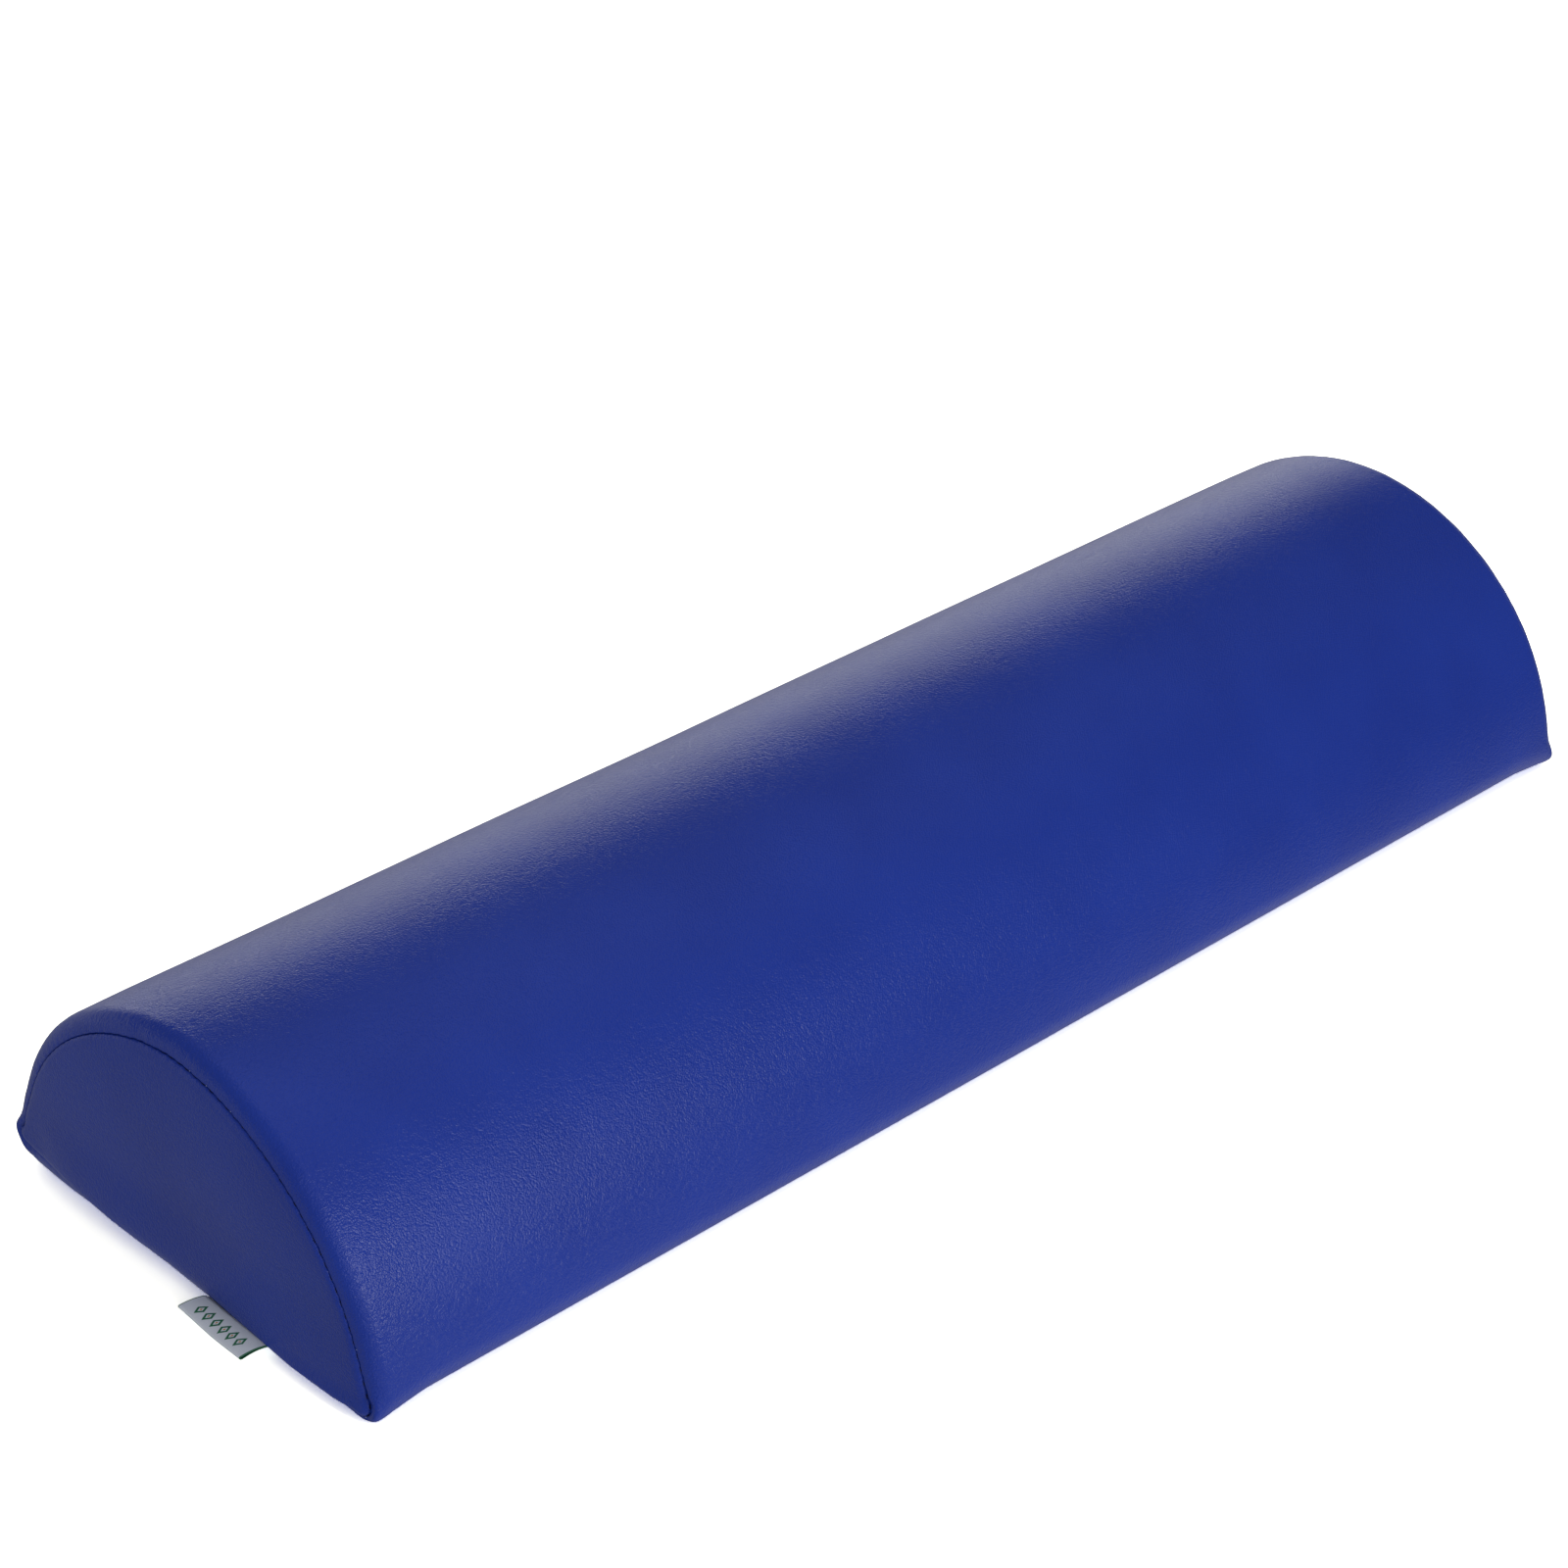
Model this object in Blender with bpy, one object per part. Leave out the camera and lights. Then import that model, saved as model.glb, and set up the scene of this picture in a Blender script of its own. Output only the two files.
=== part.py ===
"""Half-round positioning bolster: a foam half-cylinder in a sewn, zipped vinyl cover.

Frame: X along the length with the label end at -X, Y across the width with the
front long side at -Y, Z up. The origin is on the floor, at the centre of the
flat underside. All values are metres.

Every skin is described by the same two ideas. A section point sits on the outside
of the D-shaped section and has an outward normal there. A station says how the
outside of a skin runs along the length: straight, rolled over the end rim, turned
in at the end seam. Any depth below the outside is then a shift along the normals,
so that skins which lie on each other keep an even gap.
"""

import math

import bmesh
import bpy
from mathutils import Vector

# Driving dimensions
LENGTH = 0.610            # over the crowns of the two end panels
WIDTH = 0.200
HEIGHT = 0.100
CORNER = 0.012            # rounding of the two long bottom edges
GAP = 0.0003              # air between pieces that touch

# Cover
VINYL = 0.0010            # thickness of the vinyl
RIM = 0.0080              # roll of the body panel over the edge of the foam
RIM_TURN = math.radians(50)
LIP = 0.0026              # roll of each panel into the end seam
CROWN = 0.0045            # bulge of an end panel beyond its lip
CROWN_SLOPE = math.radians(78)
ALLOWANCE = 0.0050        # seam allowance turned into the cover
FOLD_HALF = 0.0047        # zip centre line to the folded edge beside it
HEM = 0.0120              # width of the fold-under along the zip

# Zip, measured up from the floor
COIL_INNER = 0.00015      # half of the gap between the closed coils
COIL_WIDTH = 0.0019
COIL_LOW = 0.0018
COIL_HIGH = 0.0033
TAPE_EDGE = 0.0014        # inner edge of each tape, under its coil
TAPE_STEP_IN = 0.0049     # the tape rises from the hem to the coil between these
TAPE_STEP_OUT = 0.0062
TAPE_HALF = 0.0155
TAPE_THICK = 0.0006
TAPE_LOW = 2 * VINYL + GAP
TAPE_HIGH = 0.0036

# Slider
SLIDER_LENGTH = 0.0126
SLIDER_HALF = 0.0044
SLIDER_LOW = 0.0005
SLIDER_PLATE = 0.0010
SLIDER_TOP = 0.0055
SLIDER_FLANGE = 0.0006
SLIDER_MARGIN = 0.0028    # end of the travel to the start of the rim
SLIDER_RIDGE = 0.0006     # half width of the ridge along the outside
WEDGE_HALF = 0.0010
WEDGE_LENGTH = 0.0048

# Threads and label
STITCH_OFFSET = 0.0102    # zip centre line to each topstitch
STITCH_GROOVE = 0.0008    # half width and depth of the dent that the topstitch lies in
STITCH_THREAD = 0.00035
SEAM_THREAD = 0.00040
SEAM_THREAD_SINK = 0.00075  # thread centre below the crest of the lips
LABEL_NEAR = 0.0120       # label edges, along -Y from the zip centre line
LABEL_FAR = 0.0475
RIBBON = 0.00035
RIBBON_ROOT = 0.00005     # half of the space between the ribbon's layers at the seam
RIBBON_OPEN = 0.00045     # and at the folded edge
LABEL_REACH = 0.0090      # from the seam thread to the folded edge
LABEL_TIP = 0.0022        # height of the folded edge

# Facets
ARC_STEPS = 20
CORNER_STEPS = 3
RIM_STEPS = 2
LIP_STEPS = 3
FLAT_SHARES = (0.45, 0.73)  # points across half of the underside
FACE_RINGS = (0.84, 0.62, 0.38, 0.16)

# Worked-out dimensions
CORNER_Y = WIDTH / 2 - CORNER
ARC_RADIUS = (CORNER_Y ** 2 + (HEIGHT - CORNER) ** 2 - CORNER ** 2) / (2 * (HEIGHT - 2 * CORNER))
ARC_Z = HEIGHT - ARC_RADIUS
ARC_START = math.atan2(CORNER - ARC_Z, CORNER_Y)  # where the top arc meets each corner
LIP_X = LENGTH / 2 - CROWN - LIP * math.sin(CROWN_SLOPE)
RIM_X = LIP_X - (RIM - LIP) * math.sin(RIM_TURN)
BODY_LIP_IN = RIM - (RIM - LIP) * math.cos(RIM_TURN)
SEAM_IN = BODY_LIP_IN + LIP
PANEL_LIP_IN = SEAM_IN + GAP + LIP
STITCH_END = RIM_X - VINYL
CROWN_EDGE = PANEL_LIP_IN - LIP * math.cos(CROWN_SLOPE)
CROWN_MIDDLE = 1 / math.sqrt(3)  # height share at which (1 - u * u) * u is largest
CROWN_PEAK = (1 - CROWN_MIDDLE ** 2) * CROWN_MIDDLE
FLAT_HALF = TAPE_HALF + VINYL
SLIDER_REST = RIM_X - SLIDER_MARGIN - SLIDER_LENGTH / 2


class SectionPoint:
    """A point on the outside of the D section, with its outward normal."""

    def __init__(self, y, z, ny, nz):
        self.y, self.z, self.ny, self.nz = y, z, ny, nz


class Station:
    """Where the outside of a skin runs: inset from the section, place along X, normal."""

    def __init__(self, inset, x, turn):
        self.inset, self.x = inset, x
        self.n_in, self.n_x = -math.cos(turn), math.sin(turn)


def place(point, station, depth, end=1):
    """World place of a section point at a station, a depth below the outside."""
    inset = station.inset - depth * station.n_in
    x = station.x - depth * station.n_x
    return Vector((end * x, point.y - inset * point.ny, point.z - inset * point.nz))


def arc_angles(start, stop, steps):
    return [start + (stop - start) * i / steps for i in range(steps + 1)]


def corner_point(side, turn):
    ny, nz = math.cos(turn), math.sin(turn)
    return SectionPoint(side * (CORNER_Y + CORNER * ny), CORNER + CORNER * nz, side * ny, nz)


def curved_section():
    """The section from the front bottom corner over the top to the back bottom corner."""
    corner = arc_angles(-math.pi / 2, ARC_START, CORNER_STEPS)[:-1]
    points = [corner_point(-1, turn) for turn in corner]
    for turn in arc_angles(math.pi - ARC_START, ARC_START, ARC_STEPS):
        ny, nz = math.cos(turn), math.sin(turn)
        points.append(SectionPoint(ARC_RADIUS * ny, ARC_Z + ARC_RADIUS * nz, ny, nz))
    return points + [corner_point(1, turn) for turn in reversed(corner)]


def bottom_point(y):
    return SectionPoint(y, 0.0, 0.0, -1.0)


def rim_stations():
    """Straight end of the body panel, then its roll over the edge of the foam."""
    return [Station(RIM - RIM * math.cos(t), RIM_X + RIM * math.sin(t), t)
            for t in arc_angles(0.0, RIM_TURN, RIM_STEPS)]


def body_lip_stations():
    """The body panel's turn into the end seam, and its seam allowance."""
    turns = arc_angles(RIM_TURN, math.pi, LIP_STEPS)[1:]
    lip = [Station(BODY_LIP_IN - LIP * math.cos(t), LIP_X + LIP * math.sin(t), t) for t in turns]
    return lip + [Station(SEAM_IN, LIP_X - ALLOWANCE, math.pi)]


def panel_stations():
    """An end panel's seam allowance and its turn out of the seam on to the end face."""
    turns = arc_angles(0.0, CROWN_SLOPE, LIP_STEPS)
    lip = [Station(PANEL_LIP_IN - LIP * math.cos(t), LIP_X + LIP * math.sin(t), t) for t in turns]
    return [Station(SEAM_IN + GAP, LIP_X - ALLOWANCE, 0.0)] + lip


def object_from(mesh_maker, name, material):
    """A new object whose mesh mesh_maker fills, with its faces turned outwards."""
    bm = bmesh.new()
    mesh_maker(bm)
    bmesh.ops.recalc_face_normals(bm, faces=bm.faces)
    mesh = bpy.data.meshes.new(name)
    bm.to_mesh(mesh)
    bm.free()
    mesh.shade_smooth()
    mesh.set_sharp_from_angle(angle=math.radians(40))
    mesh.materials.append(material)
    part = bpy.data.objects.new(name, mesh)
    bpy.context.collection.objects.link(part)
    return part


def bridge(bm, ring_a, ring_b, closed):
    """Quads between two rows of vertices of the same length."""
    count = len(ring_a)
    for i in range(count if closed else count - 1):
        j = (i + 1) % count
        bm.faces.new((ring_a[i], ring_a[j], ring_b[j], ring_b[i]))


def loft(bm, rings, closed_rings=True):
    """Verts and side faces of a loft through rings of places."""
    rows = [[bm.verts.new(p) for p in ring] for ring in rings]
    for row_a, row_b in zip(rows, rows[1:]):
        bridge(bm, row_a, row_b, closed_rings)
    return rows


def make_material(name, colour, roughness, metallic=0.0):
    material = bpy.data.materials.new(name)
    material.use_nodes = True
    shader = material.node_tree.nodes["Principled BSDF"]
    shader.inputs["Base Color"].default_value = (*colour, 1.0)
    shader.inputs["Roughness"].default_value = roughness
    shader.inputs["Metallic"].default_value = metallic
    return material


def cut(part, name, low, high):
    """Cut a box out of a part."""
    bm = bmesh.new()
    bmesh.ops.create_cube(bm, size=1.0)
    size = Vector(high) - Vector(low)
    middle = (Vector(high) + Vector(low)) / 2
    for vert in bm.verts:
        vert.co = Vector(vert.co[i] * size[i] + middle[i] for i in range(3))
    mesh = bpy.data.meshes.new(name)
    bm.to_mesh(mesh)
    bm.free()
    cutter = bpy.data.objects.new(name, mesh)
    cutter.hide_render = True
    cutter.display_type = "WIRE"
    bpy.context.collection.objects.link(cutter)
    modifier = part.modifiers.new(name, "BOOLEAN")
    modifier.operation = "DIFFERENCE"
    modifier.object = cutter


# Body panel

def body_columns():
    """Section points of the body panel with the depths of its outside and inside."""
    hem = 2 * VINYL
    edge = (FOLD_HALF, 0.25 * hem, 0.75 * hem)
    nose = (FOLD_HALF + 0.25 * hem, 0.0, hem)
    hem_end = (FOLD_HALF + HEM, 0.0, hem)
    hem_foot = (FOLD_HALF + HEM + VINYL, 0.0, VINYL)
    half = [edge, nose, hem_end, hem_foot]
    front = [(bottom_point(-y), outer, inner) for y, outer, inner in half]
    back = [(bottom_point(y), outer, inner) for y, outer, inner in reversed(half)]
    return front + [(p, 0.0, VINYL) for p in curved_section()] + back


def body_panel(material):
    columns = body_columns()
    stations = rim_stations() + body_lip_stations()
    walk = [(s, -1) for s in reversed(stations)] + [(s, 1) for s in stations]

    def fill(bm):
        rings = []
        for station, end in walk:
            outside = [place(p, station, outer, end) for p, outer, _ in columns]
            inside = [place(p, station, inner, end) for p, _, inner in columns]
            rings.append(outside + inside[::-1])
        rows = loft(bm, rings)
        half = len(columns)
        for row in (rows[0], rows[-1]):
            bridge(bm, row[:half], row[half:][::-1], False)

    panel = object_from(fill, "body_panel", material)
    for side, word in ((-1, "front"), (1, "back")):
        middle = side * STITCH_OFFSET
        cut(panel, "stitch_dent_" + word,
            (-STITCH_END, middle - STITCH_GROOVE, -CORNER),
            (STITCH_END, middle + STITCH_GROOVE, 1.5 * STITCH_GROOVE))
    return panel


# End panels

def closed_section():
    """The section all round, with the flat underside filled in across the zip."""
    half = [FLAT_HALF] + [CORNER_Y * share for share in FLAT_SHARES]
    flat = [bottom_point(y) for y in half[::-1] + [0.0] + [-y for y in half]]
    return curved_section() + flat


def crown_rise(y, z):
    """Bulge of an end face at a place: nothing along its edge, most above its middle."""
    reach = HEIGHT - 2 * CROWN_EDGE
    up = (z - CROWN_EDGE) / reach
    share = (1.0 - (y / reach) ** 2 - up ** 2) * up
    return CROWN * max(share, 0.0) / CROWN_PEAK


def crown_rings(points, depth, end):
    """Rings of an end face, from its lip to near its centre, and the centre itself."""
    rim = panel_stations()[-1]
    edge = [place(p, rim, depth, end) for p in points]
    level = end * (rim.x - depth)
    middle = CROWN_EDGE + CROWN_MIDDLE * (HEIGHT - 2 * CROWN_EDGE)
    rings = []
    for share in FACE_RINGS:
        ring = []
        for p in edge:
            y, z = share * p.y, middle + share * (p.z - middle)
            ring.append(Vector((level + end * crown_rise(y, z), y, z)))
        rings.append(ring)
    return rings, Vector((level + end * CROWN, 0.0, middle))


def end_panel(name, end, material):
    points = closed_section()

    def fill(bm):
        edge_rows = []
        for depth in (0.0, VINYL):
            lips = [[place(p, s, depth, end) for p in points] for s in panel_stations()]
            face, top = crown_rings(points, depth, end)
            rows = loft(bm, lips + face)
            centre = bm.verts.new(top)
            for a, b in zip(rows[-1], rows[-1][1:] + rows[-1][:1]):
                bm.faces.new((a, b, centre))
            edge_rows.append(rows[0])
        bridge(bm, edge_rows[0], edge_rows[1], True)

    return object_from(fill, name, material)


# Foam

def foam_core(material):
    """The foam, with rounded rims, a dent for each seam allowance and a zip channel."""
    points = closed_section()
    depth = VINYL + GAP
    dent_out = BODY_LIP_IN + GAP
    dent_in = SEAM_IN + GAP + depth
    dent_x = LIP_X - ALLOWANCE - GAP
    dent = [Station(dent_out, LIP_X + 0.4 * LIP, 0.0), Station(dent_out, dent_x, 0.0),
            Station(dent_in, dent_x, 0.0)]

    def half(end):
        rings = [[place(p, s, depth, end) for p in points] for s in rim_stations()]
        rings += [[place(p, s, 0.0, end) for p in points] for s in dent]
        rings += [[place(p, s, depth, end) for p in points] for s in panel_stations()[1:]]
        face, top = crown_rings(points, depth, end)
        return rings + face, top

    def fill(bm):
        left, left_top = half(-1)
        right, right_top = half(1)
        rows = loft(bm, left[::-1] + right)
        for row, top in ((rows[0], left_top), (rows[-1], right_top)):
            centre = bm.verts.new(top)
            for a, b in zip(row, row[1:] + row[:1]):
                bm.faces.new((a, b, centre))

    core = object_from(fill, "foam_core", material)
    tape_room = TAPE_HALF + 2 * GAP
    hem_room = FOLD_HALF + HEM + VINYL + 2 * GAP
    low = -CORNER
    cut(core, "hem_room", (-LENGTH, -hem_room, low), (LENGTH, hem_room, 2 * VINYL + GAP))
    cut(core, "tape_room", (-LENGTH, -tape_room, low), (LENGTH, tape_room, TAPE_LOW + TAPE_THICK + GAP))
    cut(core, "slider_room", (-LENGTH, -TAPE_STEP_OUT - 2 * GAP, low),
        (LENGTH, TAPE_STEP_OUT + 2 * GAP, SLIDER_TOP + 2 * GAP))
    for end, word in ((-1, "label"), (1, "plain")):
        inner, outer = end * (RIM_X - 2 * VINYL), end * LENGTH
        cut(core, "seam_room_" + word, (min(inner, outer), -hem_room, low),
            (max(inner, outer), hem_room, PANEL_LIP_IN + GAP))
    return core


# Zip

def strip(name, side, outline, shift, stations, material):
    """A strip along the zip: its (y, height) outline is swept along the stations."""
    def fill(bm):
        rings = []
        for station, end in stations:
            move = shift(end * station.x)
            rings.append([place(bottom_point(side * (y + move)), station, height, end)
                          for y, height in outline])
        rows = loft(bm, rings)
        bm.faces.new(rows[0])
        bm.faces.new(rows[-1])

    return object_from(fill, name, material)


def zip_tape(name, side, material):
    lower = [(TAPE_EDGE, TAPE_HIGH), (TAPE_STEP_IN, TAPE_HIGH), (TAPE_STEP_OUT, TAPE_LOW),
             (TAPE_HALF, TAPE_LOW)]
    upper = [(y, height + TAPE_THICK) for y, height in reversed(lower)]
    run = rim_stations()[:-1]
    stations = [(s, -1) for s in reversed(run)] + [(s, 1) for s in run]
    return strip(name, side, lower + upper, lambda x: 0.0, stations, material)


def coil_shift(x):
    """The closed coils part in front of the slider's wedge and stay apart beyond it."""
    start = SLIDER_REST - SLIDER_LENGTH * 0.2
    stop = SLIDER_REST + SLIDER_LENGTH / 2 - WEDGE_LENGTH
    share = min(max((x - start) / (stop - start), 0.0), 1.0)
    return share * (WEDGE_HALF + GAP - COIL_INNER)


def zip_coil(name, side, material):
    bevel = COIL_WIDTH * 0.2
    outer = COIL_INNER + COIL_WIDTH
    outline = [(COIL_INNER, COIL_LOW + bevel), (COIL_INNER + bevel, COIL_LOW),
               (outer - bevel, COIL_LOW), (outer, COIL_LOW + bevel),
               (outer, COIL_HIGH - bevel), (outer - bevel, COIL_HIGH),
               (COIL_INNER + bevel, COIL_HIGH), (COIL_INNER, COIL_HIGH - bevel)]
    start = SLIDER_REST - SLIDER_LENGTH * 0.2
    stop = SLIDER_REST + SLIDER_LENGTH / 2 - WEDGE_LENGTH
    stations = [(s, -1) for s in reversed(rim_stations())]
    stations += [(Station(0.0, start, 0.0), 1), (Station(0.0, stop, 0.0), 1)]
    stations += [(s, 1) for s in rim_stations()]
    return strip(name, side, outline, coil_shift, stations, material)


def slider_outline():
    """Half widths of the slider's plates along its length, rear to front."""
    return [(-0.50, 0.72), (-0.44, 0.82), (-0.20, 0.78), (0.05, 0.92), (0.26, 1.0),
            (0.40, 0.92), (0.50, 0.66)]


def prism(bm, outline, low, high):
    """A closed prism over an (x, y) outline."""
    rows = loft(bm, [[Vector((x, y, z)) for x, y in outline] for z in (low, high)])
    bm.faces.new(rows[0])
    bm.faces.new(rows[1])


def zip_slider(material):
    """Two plates, the wedge between them, two flanges on the lower plate and its ridge."""
    top = SLIDER_TOP - SLIDER_LOW
    half = [(share * SLIDER_LENGTH, width * SLIDER_HALF) for share, width in slider_outline()]
    plate = half + [(x, -y) for x, y in reversed(half)]

    def flange(side):
        inset = SLIDER_FLANGE / 6
        outside = [(x, side * (y - inset)) for x, y in half[1:5]]
        return outside + [(x, side * (y - SLIDER_FLANGE)) for x, y in reversed(half[1:5])]

    front = SLIDER_LENGTH / 2 - SLIDER_PLATE
    widest = front - WEDGE_LENGTH / 2
    wedge = [(front - WEDGE_LENGTH + GAP, 0.0), (widest, WEDGE_HALF), (front, WEDGE_HALF * 0.8),
             (front, -WEDGE_HALF * 0.8), (widest, -WEDGE_HALF)]
    ridge = [(-SLIDER_LENGTH * 0.3, -SLIDER_RIDGE), (SLIDER_LENGTH * 0.3, -SLIDER_RIDGE),
             (SLIDER_LENGTH * 0.3, SLIDER_RIDGE), (-SLIDER_LENGTH * 0.3, SLIDER_RIDGE)]
    inside = SLIDER_PLATE / 2
    flange_top = COIL_HIGH - SLIDER_LOW - GAP
    forms = [("upper_plate", plate, top - SLIDER_PLATE, top),
             ("wedge", wedge, inside, top - inside),
             ("front_flange", flange(-1), inside, flange_top),
             ("back_flange", flange(1), inside, flange_top),
             ("ridge", ridge, -GAP, inside)]

    slider = object_from(lambda bm: prism(bm, plate, 0.0, SLIDER_PLATE), "zip_slider", material)
    slider.location = (SLIDER_REST, 0.0, SLIDER_LOW)
    for word, outline, low, high in forms:
        form = object_from(lambda bm: prism(bm, outline, low, high), "slider_" + word, material)
        form.location = slider.location
        form.hide_render = True
        form.display_type = "WIRE"
        join = slider.modifiers.new(word, "BOOLEAN")
        join.operation = "UNION"
        join.object = form
    return slider


# Threads and label

def topstitch(name, side, material):
    """The thread that sews a folded edge to its tape, lying in its dent."""
    thread, middle = STITCH_THREAD, STITCH_OFFSET
    height = STITCH_GROOVE * 1.5 - GAP - thread
    outline = [(middle + thread * math.cos(t), height + thread * math.sin(t))
               for t in arc_angles(0.0, 2 * math.pi, 6)[:-1]]
    ends = [(Station(0.0, STITCH_END - GAP, 0.0), end) for end in (-1, 1)]
    return strip(name, side, outline, lambda x: 0.0, ends, material)


def seam_thread(name, end, material):
    """The thread of an end seam, a ring in the groove between the two lips."""
    points = closed_section()
    middle = Station(SEAM_IN + GAP / 2, LIP_X + LIP - SEAM_THREAD_SINK, 0.0)

    def fill(bm):
        rings = []
        for point in points:
            centre = place(point, middle, 0.0, end)
            side = Vector((0.0, point.ny, point.nz)) * SEAM_THREAD
            along = Vector((SEAM_THREAD, 0.0, 0.0))
            rings.append([centre + side * math.cos(t) + along * math.sin(t)
                          for t in arc_angles(0.0, 2 * math.pi, 6)[:-1]])
        rows = loft(bm, rings)
        bridge(bm, rows[-1], rows[0], True)

    return object_from(fill, name, material)


def side_label(material):
    """A loop of ribbon that comes out of the bottom seam and droops towards the floor."""
    root = Vector((-(LIP_X + LIP - SEAM_THREAD_SINK + SEAM_THREAD + GAP), SEAM_IN + GAP / 2))
    steps = 6
    line = []
    for i in range(steps + 1):
        share = i / steps
        line.append(root + Vector((-LABEL_REACH * share, (LABEL_TIP - root.y) * share ** 1.6)))

    def layer(side, extra):
        """One surface of one layer: side is -1 for the lower layer and 1 for the upper."""
        places = []
        for i in range(steps + 1):
            along = (line[min(i + 1, steps)] - line[max(i - 1, 0)]).normalized()
            space = RIBBON_ROOT + (RIBBON_OPEN - RIBBON_ROOT) * min(1.0, 2 * i / steps)
            places.append(line[i] + Vector((along.y, -along.x)) * side * (space + extra))
        return places

    run = (line[-1] - line[-2]).normalized()
    fold_out = line[-1] + run * (RIBBON_OPEN + RIBBON)
    fold_in = line[-1] + run * RIBBON_OPEN
    outside = layer(1, RIBBON) + [fold_out] + layer(-1, RIBBON)[::-1]
    inside = layer(1, 0.0) + [fold_in] + layer(-1, 0.0)[::-1]

    def fill(bm):
        rows = loft(bm, [[Vector((p.x, y, p.y)) for p in outside + inside[::-1]]
                         for y in (-LABEL_FAR, -LABEL_NEAR)])
        half = len(outside)
        for row in rows:
            bridge(bm, row[:half], row[half:][::-1], False)

    return object_from(fill, "side_label", material)


def clear_scene():
    for item in list(bpy.data.objects):
        bpy.data.objects.remove(item)


def main():
    clear_scene()
    vinyl = make_material("vinyl", (0.020, 0.038, 0.300), 0.45)
    foam = make_material("foam", (0.62, 0.58, 0.52), 0.95)
    tape = make_material("zip_tape", (0.012, 0.012, 0.014), 0.85)
    coil = make_material("zip_coil", (0.050, 0.050, 0.055), 0.40)
    metal = make_material("slider_metal", (0.60, 0.60, 0.60), 0.38, 1.0)
    thread = make_material("thread", (0.020, 0.010, 0.060), 0.70)
    ribbon = make_material("ribbon", (0.66, 0.68, 0.72), 0.50)

    foam_core(foam)
    body_panel(vinyl)
    end_panel("label_end_panel", -1, vinyl)
    end_panel("plain_end_panel", 1, vinyl)
    for side, word in ((-1, "front"), (1, "back")):
        zip_tape("zip_tape_" + word, side, tape)
        zip_coil("zip_coil_" + word, side, coil)
        topstitch("zip_topstitch_" + word, side, thread)
    zip_slider(metal)
    seam_thread("label_end_seam_thread", -1, thread)
    seam_thread("plain_end_seam_thread", 1, thread)
    side_label(ribbon)


main()
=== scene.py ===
"""Looks of the half-round bolster: a zipped blue vinyl cover over a foam half-cylinder.

The cover's pieces are modelled flat, as they are cut and sewn, and then wrapped round
the foam. On the flat work X runs along the length from the middle, Y runs round the
section from the crown to the zip, and Z is the height above the outside of the vinyl.
"""

import math

import bmesh
import bpy
import numpy as np
from mathutils import Matrix, Vector, noise


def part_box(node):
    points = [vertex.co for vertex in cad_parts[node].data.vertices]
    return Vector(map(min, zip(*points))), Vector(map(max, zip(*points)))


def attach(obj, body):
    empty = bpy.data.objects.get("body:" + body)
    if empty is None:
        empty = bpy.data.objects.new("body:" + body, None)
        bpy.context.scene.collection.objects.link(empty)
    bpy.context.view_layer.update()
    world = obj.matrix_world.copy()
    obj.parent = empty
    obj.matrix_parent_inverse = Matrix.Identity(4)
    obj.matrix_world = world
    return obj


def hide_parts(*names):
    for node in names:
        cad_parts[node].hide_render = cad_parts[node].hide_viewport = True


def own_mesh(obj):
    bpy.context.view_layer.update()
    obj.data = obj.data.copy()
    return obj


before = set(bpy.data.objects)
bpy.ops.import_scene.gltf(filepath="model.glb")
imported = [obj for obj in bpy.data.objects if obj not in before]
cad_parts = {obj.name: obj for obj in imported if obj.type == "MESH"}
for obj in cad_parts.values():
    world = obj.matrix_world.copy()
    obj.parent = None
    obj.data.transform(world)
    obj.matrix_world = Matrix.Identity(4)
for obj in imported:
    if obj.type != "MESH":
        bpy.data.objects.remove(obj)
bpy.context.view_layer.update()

# Sizes of the sewn cover, in metres
WIDTH = 0.200
HEIGHT = 0.100
CORNER = 0.012             # rounding of the two long bottom edges
VINYL = 0.0009
RIM = 0.0068               # roll over the edge of the foam
RIM_TURN = math.radians(80)
LIP = 0.0007               # roll into the end seam
ALLOWANCE = 0.0024
FOLD_HALF = 0.0047         # zip centre line to the folded edges
FOLD_ROLL = 0.0011
HEM = 0.0110
EDGE_WIDTH = 0.0036        # soft edge of an end face
EDGE_RISE = 0.0013
GROOVE = 0.0002            # depth of the end seam between its lips
SEAM_DIP = 0.0033          # the bottom seams sit lower at the front
SEAM_CLIMB = 0.0083        # and rise by this towards the back corner
TUCK = 0.0012              # how far the bottom seams are drawn in at the label
EDGE_PLACES = (-0.096, -0.080, -0.060, -0.040, -0.015, 0.010, 0.040, 0.070, 0.095)
EDGE_DRAWN = (-0.0010, -0.0024, -0.0019, -0.0002, TUCK, TUCK, 0.0001, -0.0002, 0.0)
BACK_OUT = 0.0040          # the label end stands out at its back corner
SHOULDER = 0.0010          # the cover draws in towards its end seams
CORNER_PULL = 0.0028       # the end seams turn their bottom corners sharply
EAR_OUT = {-1: 0.0002, 1: 0.0006}    # reach of the folded corners, front and back
EAR_NOSE = 0.0018          # and the rounding of their tips
EAR_SPAN = {-1: 0.0150, 1: 0.0150}   # how far they reach round the section, upwards
EAR_SPAN_BELOW = {-1: 0.0200, 1: 0.0150}  # and along the underside
EAR_TURNS = {-1: math.radians(-31), 1: math.radians(-22)}  # where they stand

# Stitching
SEAM_PITCH = 0.0047
TOPSTITCH_PITCH = 0.0044
TOPSTITCH_OFFSET = 0.0102
THREAD = 0.00032
SEAM_STITCH = 0.0026       # length of a stitch of the end seams
SEAM_THREAD = 0.00024
SEAM_THREAD_DEEP = 0.00022  # below the crest of the lips
GLINT_SPECK_CHANCE = 0.26         # stitches with less than this have no painted glint speck
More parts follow.
